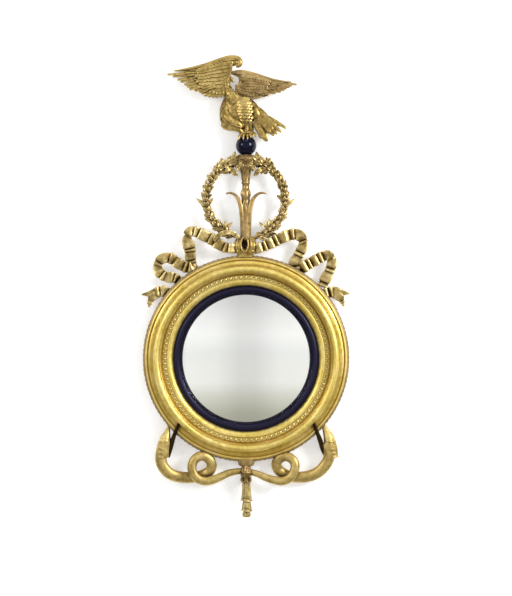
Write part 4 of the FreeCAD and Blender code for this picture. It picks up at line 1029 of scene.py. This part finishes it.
left_wing = wing(
    [(-184, 197), (-150, 202.5), (-122, 208), (-94, 215.5), (-60, 226.5), (-36, 230.5), (-20, 226)],
    [(-178, 190), (-156, 164), (-132, 143), (-112, 136), (-88, 131), (-68, 133), (-50, 168)],
    [(-190, 196.5, 3.8), (-207.5, 186.5, 4.4), (-193, 180.5, 4.2), (-181, 172.5, 4.6),
     (-173, 166.5, 4.6), (-163, 159, 4.8), (-156, 153, 5), (-149.5, 147, 5.4), (-136, 143, 6),
     (-124, 140, 6)],
    [(-118, 137, 34, 38, 6.6), (-110, 131, 34, 44, 7.2), (-100, 128.5, 32, 48, 7.6),
     (-90, 127, 29, 50, 7.6), (-80, 127, 25, 50, 7.6), (-69, 127.5, 20, 52, 7.6),
     (-60, 130, 12, 52, 7)],
    [(-148, 196), (-94, 209), (-60, 220), (-34, 226), (-22, 220), (-24, 214), (-40, 207),
     (-54, 198), (-58, 186), (-56, 176), (-58, 144), (-66, 137), (-104, 140), (-120, 148),
     (-146, 166)],
    [(0.30, 9, 15, 4.6, -6, 0.44, 0.98), (0.40, 10, 15, 4.4, -7, 0.42, 0.97),
     (0.50, 10, 15, 4.4, -8, 0.40, 0.96), (0.60, 11, 14, 4.2, -9, 0.38, 0.95),
     (0.70, 11, 14, 4.2, -9.8, 0.36, 0.94), (0.80, 12, 13, 4.0, -10.4, 0.35, 0.90),
     (0.89, 12, 12, 3.8, -10.8, 0.35, 0.84)],
    [2.0, 3.4, 4.8, 6.0, 7.2, 7.8, 6.5], ((-92, 200), (-78, 156)))
curl = [bird(-44, 229), bird(-30, 230.5), bird(-20, 227), bird(-16, 219), bird(-18.5, 212),
        bird(-27, 210)]
left_wing.append(tube(curl, [6.5, 7.4, 7.6, 7.4, 6.6, 5.0], 0.95))
left_wing.append(egg(bird(-31, 219, 0), (13, 5.4, 9)))
left_wing.append(tube([bird(-58, 186, -3), bird(-50, 199, -4), bird(-38, 207, -3)], [4, 5, 3.4]))
inner_edge = ((-56, 170), (-53, 180), (-51, 190), (-46, 200), (-40, 210), (-34, 218))
for k, (x, up) in enumerate(inner_edge):
    left_wing.append(scale_at(bird(x, up, -8), Vector((-1, 0, -0.6 + 0.1 * k)), FRONT, 17, 4.8, 0.5))
gilt(joined(left_wing), "wing_left", ["eagle_wing_left"], carved_gold, 40)

right_wing = wing(
    [(112, 167), (92, 169.5), (64, 174.5), (36, 183), (10, 190), (-14, 194), (-40, 191)],
    [(106, 158), (92, 142), (66, 136), (44, 132), (20, 126), (-2, 124), (-26, 140)],
    [(120, 166, 3.6), (134, 160, 4.2), (121, 156.5, 4.2), (115, 152.5, 4.4), (107, 148.5, 4.4),
     (101, 144.5, 4.6), (92, 140.5, 4.8), (79, 136.5, 5.2), (66, 136, 5.4), (57, 136, 5.6)],
    [(45, 130, -26, 34, 6.8), (38, 127, -26, 38, 7), (31, 124.5, -25, 40, 7.4),
     (23, 123, -24, 42, 7.6), (15, 122, -20, 44, 7.8), (6, 122.5, -15, 44, 7.8),
     (-4, 124.5, -9, 42, 7.4), (-13, 126.5, -4, 36, 6.8), (-21, 129, 0, 26, 5.6)],
    [(-44, 190), (-14, 190), (10, 184), (37, 176), (63, 168), (88, 162), (90, 150), (60, 142),
     (47, 138), (16, 130), (-2, 130), (-22, 136), (-29, 146), (-29, 155), (-22, 160), (-19, 170),
     (-20, 180), (-32, 186)],
    [(0.30, 10, 15, 4.4, -5, 0.50, 0.99), (0.40, 10, 15, 4.3, -6, 0.48, 0.98),
     (0.50, 9, 14, 4.2, -7, 0.46, 0.90), (0.60, 9, 14, 4.1, -8, 0.44, 0.82),
     (0.70, 10, 13, 4.0, -8.6, 0.42, 0.82), (0.80, 10, 13, 3.9, -9.2, 0.40, 0.84),
     (0.89, 11, 12, 3.7, -9.6, 0.38, 0.86)],
    [1.8, 3.0, 4.2, 5.0, 5.6, 5.6, 4.2], ((44, 174), (24, 140)))
gilt(joined(right_wing), "wing_right", ["eagle_wing_right"], brown_gold, 40)

torso_levels = [
    (-34, 38, 14, 6), (-28, 43, 32, 12), (-24, 51, 44, 17), (-13, 67, 54, 21),
    (-15, 88, 54, 23), (-18, 104, 48, 23), (-20, 117, 41.5, 21), (-26, 127, 30, 17.5),
    (-39, 137, 19, 14), (-47.5, 147, 10, 10), (-50.5, 158, 7.4, 8.4), (-51, 168, 7.6, 8.4)]


def torso_at(up, turn):
    """Place and outward way on the torso, turned from the front about its upright middle."""
    ups = [level[1] for level in torso_levels]
    k = max(0, min(len(ups) - 2, sum(u <= up for u in ups) - 1))
    share = (up - ups[k]) / (ups[k + 1] - ups[k])
    x, _, w, t = [a + (b - a) * share for a, b in zip(torso_levels[k], torso_levels[k + 1])]
    a = math.radians(turn)
    out = Vector((math.sin(a) / max(w, 1), -math.cos(a) / max(t, 1), 0)).normalized()
    return bird(x + w * math.sin(a), up, -t * math.cos(a)), out


torso = stacked([(bird(x, up), w, t) for x, up, w, t in torso_levels], 20)
modified(torso, "SUBSURF", levels=1, render_levels=1)
head = tube([bird(-51, 158), bird(-51, 168), bird(-49.5, 175), bird(-45, 177.5), bird(-41, 176)],
            [7.4, 8.4, 9.4, 8.4, 5.6], 0.95)
beak = tube([bird(-45, 175.5), bird(-39, 175), bird(-34.6, 171.5), bird(-34.2, 166.5),
             bird(-36, 163.5)], [5.4, 4.4, 3.2, 1.9, 0.6], 0.75)
lower_beak = tube([bird(-45, 169), bird(-40, 168.5), bird(-37.4, 167.6)], [3.2, 2.4, 1.0], 0.7)
brow = tube([bird(-50, 181, -6), bird(-45, 181.5, -7), bird(-40, 178.5, -5)], [1.4, 2.0, 1.2])
nape = tube([bird(-57, 174), bird(-60, 166), bird(-61, 156), bird(-63, 146)], [2.6, 3.4, 3, 2], 1.6)
thigh = tube([bird(-54, 92, -12), bird(-50, 76, -17), bird(-38, 62, -18), bird(-22, 56, -17),
              bird(-12, 46, -16)], [10, 14, 13, 11, 8], 0.8)
shin = tube([bird(-44, 48, -8), bird(-30, 44, -12), bird(-16, 39, -14), bird(-8, 30, -10),
             bird(-5, 24, -6)], [6, 7.5, 7, 5.5, 5])
rear_leg = tube([bird(12, 66, -6), bird(14, 50, -7), bird(13, 38, -6), bird(9, 27, -4)],
                [12, 9, 6, 4.6])
breast = egg(bird(-6, 98, -13), (20, 13, 29), 20, 14)
tuft = tube([bird(3, 56, -5), bird(1, 42, -7), bird(0, 28, -6)], [9, 7.2, 6.2])
curls = [tube([bird(-56 + k * 5, 84 - k * 5, -20 - k), bird(-48 + k * 5, 66 - k * 4, -25 - k),
               bird(-34 + k * 5, 55 - k * 3, -25 - k), bird(-18 + k * 4, 50 - k * 2, -22 - k)],
              [1.6, 3.0, 3.2, 1.6]) for k in range(3)]
body = [torso, head, beak, lower_beak, brow, nape, thigh, shin, rear_leg, tuft, breast] + curls
# front claws of the near foot, then those of the far one, and one claw behind
for x, reach in ((-15, 0), (-6, 1), (3, 0)):
    body.append(tube([bird(x / 2 - 3, 27, -6), bird(x * 0.9, 28, -14 - reach),
                      bird(x * 1.2, 21, -21 - reach), bird(x * 1.3, 12, -25 - reach)],
                     [3.8, 4.2, 3.2, 1.0]))
for x, drop in ((11, 14), (19, 17), (25, 22)):
    body.append(tube([bird(12, 33, -4), bird(x * 0.9, 31, -9), bird(x, 25, -13),
                      bird(x * 1.04, drop, -14)], [3.4, 3.6, 2.8, 0.9]))
body.append(tube([bird(-2, 27, 6), bird(-3, 27, 14), bird(-4, 16, 21)], [3.6, 3.4, 1.0]))
carved_body = fused(body, 1.3, 2)
opened(carved_body)
bpy.ops.mesh.bisect(plane_co=bird(SEAM_X, 0), plane_no=(1, 0, 0), use_fill=False)
bpy.ops.mesh.select_all(action="DESELECT")
pick(carved_body, lambda p: p.x > (SEAM_X - 0.05) * MM and p.z > bird(0, 45).z)
bpy.ops.mesh.delete(type="VERT")
bpy.ops.mesh.select_all(action="SELECT")
bpy.ops.mesh.fill_holes(sides=0)
shut(carved_body)

down_feathers = []
for row in range(15):
    up = 48 + row * 8.6
    count = 13 if 60 < up < 125 else (9 if up < 140 else 6)
    for k in range(count):
        turn = -180 + 360 * (k + 0.5 * (row % 2)) / count + draw.uniform(-4, 4)
        root, out = torso_at(up + 8, turn)
        if root.x > (SEAM_X - 3) * MM or (up < 70 and -100 < turn < -10):
            continue
        on_breast = -26 * MM < root.x < 14 * MM and 70 < up < 126 and -60 < turn < 100
        if on_breast:
            continue
        low, _ = torso_at(up - 8, turn)
        length, half = (17, 4.4) if up < 125 else (11, 2.8)
        down_feathers.append(scale_at(root - out * 0.7 * MM, (low - root).normalized() + out * 0.07,
                                      out, length, half, 0.4))
BREAST_X = -6.0
BREAST_UP = 100.0
for row in range(8):
    for k in range(5):
        x = -24 + k * 9 + 4.5 * (row % 2)
        up = 126 - row * 7.5
        off = ((x - BREAST_X) / 22) ** 2 + ((up - BREAST_UP) / 33) ** 2
        if off > 1.05 or x > SEAM_X - 3:
            continue
        place = bird(x, up, -13 - 13.5 * math.sqrt(max(0.04, 1 - off)))
        out = Vector(((x - BREAST_X) / 30, -1, (up - BREAST_UP) / 50)).normalized()
        down_feathers.append(scale_at(place, Vector((0.25, 0, -1)) + out * 0.12, out, 14, 5.2, 0.95))
eye = [egg(bird(-46.5, 176.5, side * 7.8), (1.7, 1.4, 1.7), 10, 8) for side in (-1, 1)]
gilt(joined([carved_body] + down_feathers + eye), "eagle", ["eagle_body"], carved_gold, 45)

rump = stacked([(bird(26, 62), 8, 8), (bird(27, 72), 18, 15), (bird(25, 88), 18, 17),
                (bird(20, 104), 13, 15), (bird(17, 118), 5, 8)], 16)
modified(rump, "SUBSURF", levels=1, render_levels=1)
root_fan = tube([bird(18, 92), bird(34, 82), bird(50, 67), bird(62, 55)], [17, 17, 15, 9], 0.6)
tail_skin = fused([rump, root_fan], 1.3, 2)
opened(tail_skin)
bpy.ops.mesh.bisect(plane_co=bird(SEAM_X + SEAM_GAP, 0), plane_no=(1, 0, 0), clear_inner=True,
                    use_fill=True)
tail = [shut(tail_skin)]
# tail feathers from the highest to the lowest: (tip x, tip up, half width)
fan = [(106, 44.5, 5.6), (93, 35, 6.0), (82, 30, 6.2), (73.5, 26, 6.4), (55, 11, 8), (45, 24, 7),
       (36, 37, 6.6)]
for k, (x, up, half) in enumerate(fan):
    root = bird(36 - k * 2.2, 86 - k * 3.0, -6 + k * 1.2)
    tail.append(plume_at(root, bird(x, up, -8 + k * 2.0), half, FRONT + UP * 0.1, 1.4))
    tail.append(plume_at(root + at(0, 9, 0), bird(x - 3, up + 3, -1 + k * 1.6), half, -FRONT, 1.2))
for k in range(6):
    (x0, u0, _), (x1, u1, _) = fan[k], fan[k + 1]
    tail.append(plume_at(bird(34 - k * 2, 84 - k * 3, -2),
                         bird((x0 + x1) / 2 - 9, (u0 + u1) / 2 + 13, -2), 6.6, FRONT, 1.2))
for row, (far, length) in enumerate(((0.50, 26), (0.34, 24), (0.18, 22), (0.05, 20))):
    for k in range(5):
        x, up, _ = fan[min(k + 1, 6)]
        root = bird(22, 98 - k * 8, -13 + row).lerp(bird(x, up, -13 + row), far)
        way = bird(x, up) - bird(24, 90)
        tail.append(scale_at(root, way, FRONT + UP * 0.15, length, 5.4, 0.5))
        tail.append(scale_at(root + at(0, 21 - row, 0), way, -FRONT, length, 6.6))
gilt(joined(tail), "eagle_tail_fan", ["eagle_tail"], carved_gold, 45)

# ---------------------------------------------------------------- serpents and tassel


def serpent(hand, side, body, ys, outer_jaw, inner_jaw):
    """Serpent that bites the frame's edge, curls once and runs to the tassel.

    Body is a run of (angle from the foot, distance beyond the frame), ys its depths; the jaws
    are runs of (angle, distance, depth).
    """
    node = "serpent_" + hand
    path = [polar(a, out, y, True) for (a, out), y in zip(body, ys)]
    radii = [14.6, 15.2, 15.4, 15.2, 15.0, 14.6, 13.6, 12.8, 12.4, 12.2, 11.8, 11.2, 9.6, 7.6]
    made = [tube(path, radii, 0.74, 20, resolution=5)]
    jaws = [[polar(a, out, y, True) for a, out, y in jaw] for jaw in (outer_jaw, inner_jaw)]
    made.append(tube(jaws[0], [15.6, 16.2, 16.2, 14, 9, 5.4, 3.6], 0.8))
    brow_foot = jaws[0][2] + at(side * 7, -8, -4)
    made.append(tube([brow_foot, brow_foot + at(side * 1.5, 0, 12), brow_foot + at(side * -1, 2, 22)],
                     [3.6, 4.4, 2.2], 0.9))
    eye_place = jaws[0][2] + at(-side * 1, -11.5, 0)
    made.append(tube([eye_place + at(-side * 6, 1.0, 4), eye_place + at(0, -0.5, 6),
                      eye_place + at(side * 6, 0.5, 3)], [1.6, 2.5, 1.4]))
    for k in range(3):
        fold = jaws[0][0].lerp(path[0], 0.3 * k)
        made.append(tube([fold + at(side * 15, -3, 2), fold + at(side * 9, -10, 0),
                          fold + at(0, -12.2, -2)], [1.8, 2.2, 1.6]))
    skin = fused(made, 1.25, 2)
    eye = egg(eye_place, (2.5, 2.2, 2.5), 12, 8)
    gilt(joined([skin, eye]), node + "_carving", [node], scaly_gold, 55)
    # The inner jaw is finished near-black: painted shade in the mouth
    lower_jaw = fused([tube(jaws[1], [6.5, 7.2, 6.6, 5.4, 4.4, 3.2], 1.4)], 1.1, 1)
    gilt(lower_jaw, node + "_jaw", [node], shade_dark_gilding, 55)


serpent("left", -1, [
    (-44.6, 36), (-43.3, 48), (-41.4, 66), (-39.0, 81), (-36.0, 89), (-32.8, 91), (-29.5, 86),
    (-26.0, 77), (-22.5, 65), (-19.3, 50), (-17.7, 33), (-18.5, 17), (-21.2, 8), (-24.6, 9),
    (-26.8, 22), (-26.9, 40), (-25.4, 55), (-22.5, 66), (-19.0, 67), (-15.7, 59), (-12.4, 46),
    (-8.9, 33), (-5.1, 26), (-1.2, 23)],
    [-28, -28, -27, -26, -24, -21, -17, -15, -15, -17, -21, -25, -28, -31, -34, -37, -38, -38,
     -37, -35, -32, -29, -28, -28],
    [(-40.1, 66, -27), (-42.0, 51, -27), (-43.9, 36, -27), (-45.4, 25, -27), (-46.7, 13, -26),
     (-48.1, 3, -24), (-49.7, -6, -22)],
    [(-38.6, 59, -22), (-40.1, 39, -24), (-41.8, 19, -28), (-43.4, 1, -34), (-44.9, -16, -40),
     (-46.4, -30, -44)])
serpent("right", 1, [
    (44.0, 36), (42.4, 49), (39.9, 67), (35.9, 78), (31.4, 82), (27.0, 77), (23.2, 68),
    (20.4, 59), (17.6, 45), (15.9, 28), (16.4, 13), (18.6, 5), (21.8, 5), (24.2, 15),
    (24.9, 31), (23.3, 47), (20.4, 60), (16.9, 63), (13.4, 56), (9.5, 45), (5.9, 33), (1.2, 24)],
    [-28, -28, -27, -25, -22, -18, -16, -15, -16, -20, -24, -28, -31, -34, -37, -38, -38, -37,
     -34, -31, -29, -28],
    [(41.3, 72, -27), (43.1, 57, -27), (44.8, 41, -27), (46.4, 27, -27), (47.8, 11, -26),
     (49.2, -3, -24), (50.5, -14, -22)],
    [(39.3, 62, -22), (40.4, 40, -24), (42.2, 17, -28), (43.7, -1, -34), (45.5, -19, -40),
     (47.0, -33, -44)])

block = stacked([(below(0, 10.5), 16, 9.5), (below(0, 7), 20, 11), (below(0, 3), 21.5, 11.5),
                 (below(0, -3), 22, 11.8), (below(0, -9), 22, 11.8)], 24, 0.04)
gilt(block, "tassel_seat", ["tassel_block"], brown_gold, 30)

knots = [stacked([(below(0, 50), 10.5, 8.5), (below(0, 42), 14.5, 10.5), (below(0, 34), 13.5, 10.5),
                  (below(0, 27), 14.5, 11.5), (below(0, 18), 14, 11.5), (below(0, 6), 9.5, 9.5)], 16)]
for x, low, high, deep in ((-9, 44, 12, -37), (-3, 48, 8, -40), (3, 47, 9, -40.5), (9, 43, 12, -37.5)):
    knots.append(tube([below(x * 0.8, high, -35), below(x, (low + high) / 2 - 6, deep),
                       below(x * 1.15, (low + high) / 2 + 6, deep + 1), below(x * 0.9, low, -34)],
                      [2.8, 4.0, 4.2, 2.8]))
knots.append(tube([below(-15, 24, -31), below(-8, 27, -39.5), below(0, 26, -42), below(8, 27, -39.5),
                   below(15, 24, -31)], [3.0, 3.8, 4.2, 3.8, 3.0]))
for x in (-7.2, 7.2):
    loop = [below(x + 5.6 * math.cos(a), 44 + 8.2 * math.sin(a), -39)
            for a in (2 * math.pi * k / 8 for k in range(8))]
    knots.append(tube(loop, [2.3], closed=True))
gilt(fused(knots, 0.8, 1), "tassel_knot", ["tassel_gather"], brown_gold, 55)


def skirt(levels, flutes, star, shift=0.0):
    """Pleated tier of the tassel, its hem turned in underneath."""
    made = stacked([(below(1 + shift, down), w, t) for down, w, t in levels], flutes * 2, star)
    return modified(made, "SUBSURF", levels=1, render_levels=1)


tiers = [skirt([(103, 8, 6), (101.8, 15.4, 12.6), (99, 16.2, 13), (92, 15.2, 12.6), (78, 13.8, 11.6),
                (64, 12.8, 11), (52, 11.8, 10), (46, 11, 9)], 11, 0.30),
         skirt([(129, 7, 5), (127.6, 15.2, 12.2), (124.5, 16, 12.6), (116, 14.6, 11.8),
                (106, 13, 10.6), (98, 11, 9)], 10, 0.30, 0.6),
         skirt([(145, 6, 5), (144, 11.6, 9.2), (141, 13.2, 10.8), (134, 13, 10.8), (124, 11, 9)],
               9, 0.32, 0.2)]
for down, half in ((99.5, 16.4), (126, 15.8)):
    for side in (-1, 1):
        tiers.append(tube([below(1 - 12 * side, down - 1, -33), below(1 - 2 * side, down + side, -41),
                           below(1 + 10 * side, down + 2 * side, -36.5),
                           below(1 + half * side, down, -30)], [1.4, 2.2, 2.0, 1.2], 0.9))
gilt(joined(tiers), "tassel_skirts", ["tassel_drop"], ribbon_gold, 40)

# ---------------------------------------------------------------- solids shown as they are

for node, finish in (
    ("frame_back_ring", ring_pine), ("glass_blocks", ring_pine), ("backboard", board_pine),
    ("backboard_screws", steel), ("hanger_plate_left", brass), ("hanger_plate_right", brass),
    ("hanger_ring_left", brass), ("hanger_ring_right", brass), ("hanger_screws", brass),
    ("crest_strap", iron), ("crest_screws", steel), ("apron_strap", iron), ("apron_screws", steel),
    ("crest_rod", iron), ("eagle_pins", iron), ("ribbon_pins", iron), ("jaw_pins", iron),
    ("drop_pin", iron),
):
    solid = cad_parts[node]
    solid.data.materials.clear()
    solid.data.materials.append(finish)

for used in (plume, scale):
    dropped(used)

# ---------------------------------------------------------------- room, camera and light


def wired(tree, kind, *values, **settings):
    """Node with its inputs taken in order, each a link or a value; gives its first output."""
    node = finish_node(tree, kind, **settings)
    for socket, value in zip(node.inputs, values):
        feed(tree, socket, value)
    return node.outputs[0] if node.outputs else node


def white_room(name, own_white, lit_share, see_past=0.0):
    """Pale surface: part of its white is its own for the camera, the rest takes the shadows."""
    mat = bpy.data.materials.new(name)
    mat.use_nodes = True
    tree = mat.node_tree
    tree.nodes.clear()
    rays = tree.nodes.new("ShaderNodeLightPath").outputs
    plain = finish_node(tree, "BsdfDiffuse", Color=(0.8, 0.8, 0.8, 1))
    lit = finish_node(tree, "BsdfDiffuse", Color=(lit_share,) * 3 + (1,))
    own = finish_node(tree, "Emission", Color=(1, 1, 1, 1), Strength=own_white)
    added = wired(tree, "AddShader", lit.outputs[0], own.outputs[0])
    glossy = wired(tree, "Math", rays["Is Glossy Ray"], rays["Is Transmission Ray"], use_clamp=True)
    seen = wired(tree, "Math", rays["Is Camera Ray"], glossy, use_clamp=True)
    mixed = wired(tree, "MixShader", seen, plain.outputs[0], added)
    clear_back = tree.nodes.new("ShaderNodeBsdfTransparent").outputs[0]
    side = tree.nodes.new("ShaderNodeNewGeometry").outputs["Backfacing"]
    passed = wired(tree, "Math", glossy, see_past, operation="MULTIPLY")
    hidden = wired(tree, "Math", side, passed, use_clamp=True)
    both = wired(tree, "MixShader", hidden, mixed, clear_back)
    wired(tree, "OutputMaterial", both)
    return mat


ROOM_SIZE = 12.0
WALL_Y = 0.004
GROUND_Z = -1.3


def surface(name, place, turn, finish):
    clear()
    bpy.ops.mesh.primitive_plane_add(size=ROOM_SIZE, location=place, rotation=(turn, 0, 0))
    made = settled(bpy.context.object)
    made.name = name
    made.data.materials.append(finish)
    return made


wall = surface("wall", (0, WALL_Y, 0.16), math.pi / 2, white_room("white_wall", 0.34, 0.80))
ground = surface("ground", (0, -2.0, GROUND_Z), 0, white_room("pale_floor", 0.35, 0.55, 1.0))


def studio():
    """White studio: a little darker above and straight ahead, greyer towards the floor."""
    world = bpy.data.worlds.new("studio")
    bpy.context.scene.world = world
    world.use_nodes = True
    tree = world.node_tree
    background = tree.nodes["Background"]
    way = tree.nodes.new("ShaderNodeTexCoord").outputs["Generated"]
    parts = finish_node(tree, "SeparateXYZ", Vector=way)
    level = finish_node(tree, "MapRange", Value=parts.outputs["Z"], From_Min=-1.0, From_Max=1.0)
    tall = ramp(tree, level.outputs[0], [
        (0.00, (0.50, 0.47, 0.40)), (0.22, (0.44, 0.42, 0.36)), (0.275, (0.47, 0.47, 0.38)),
        (0.33, (0.63, 0.63, 0.55)), (0.392, (0.84, 0.845, 0.80)), (0.455, (0.84, 0.845, 0.81)),
        (0.50, (0.82, 0.83, 0.81)), (0.575, (0.94, 0.945, 0.93)), (0.635, (0.86, 0.865, 0.85)),
        (0.74, (0.66, 0.665, 0.655)), (0.82, (0.55, 0.55, 0.54)),
        (1.00, (0.50, 0.50, 0.50))])
    wide = wired(tree, "Math", parts.outputs["X"], operation="ABSOLUTE")
    across = ramp(tree, wide, [(0.0, 0.90), (0.06, 0.90), (0.24, 1.08), (0.45, 1.13), (0.60, 0.62),
                               (1.0, 0.42)])
    colour = blend(tree, 1.0, tall, across, "MULTIPLY")
    path = tree.nodes.new("ShaderNodeLightPath")
    colour = blend(tree, path.outputs["Is Camera Ray"], colour, (1.0, 1.0, 1.0))
    plugged(tree, background, Color=colour, Strength=1.0)


studio()


def lamp(name, place, aim_z, size, watts):
    """Square softbox that looks at a point on the upright middle of the mirror."""
    clear()
    bpy.ops.object.light_add(type="AREA", location=place)
    light = bpy.context.object
    light.name = name
    light.data.shape = "SQUARE"
    light.data.size = size
    light.data.energy = watts
    light.rotation_euler = (Vector((0, 0, aim_z)) - Vector(place)).to_track_quat("-Z", "Y").to_euler()


lamp("right_softbox", (2.45, -2.1, 1.25), 0.2, 0.9, 84)
lamp("left_softbox", (-2.35, -2.1, 1.15), 0.2, 0.9, 30)
lamp("top_softbox", (0.1, -1.3, 2.6), 0.3, 1.4, 9)

PHOTO_H = 596
MM_PER_PIXEL = 2.625
VIEW_X = 0.026
VIEW_Z = 0.159
RELIEF_Y = -0.03
LENS = 100.0
SENSOR = 36.0
view_far = PHOTO_H * MM_PER_PIXEL * MM * LENS / SENSOR
bpy.ops.object.camera_add(location=(VIEW_X, RELIEF_Y - view_far, VIEW_Z),
                          rotation=(math.pi / 2, 0, 0))
camera = bpy.context.object
camera.data.lens = LENS
camera.data.sensor_width = SENSOR
camera.data.clip_end = 60.0
bpy.context.scene.camera = camera
bpy.context.scene.view_settings.view_transform = "Standard"
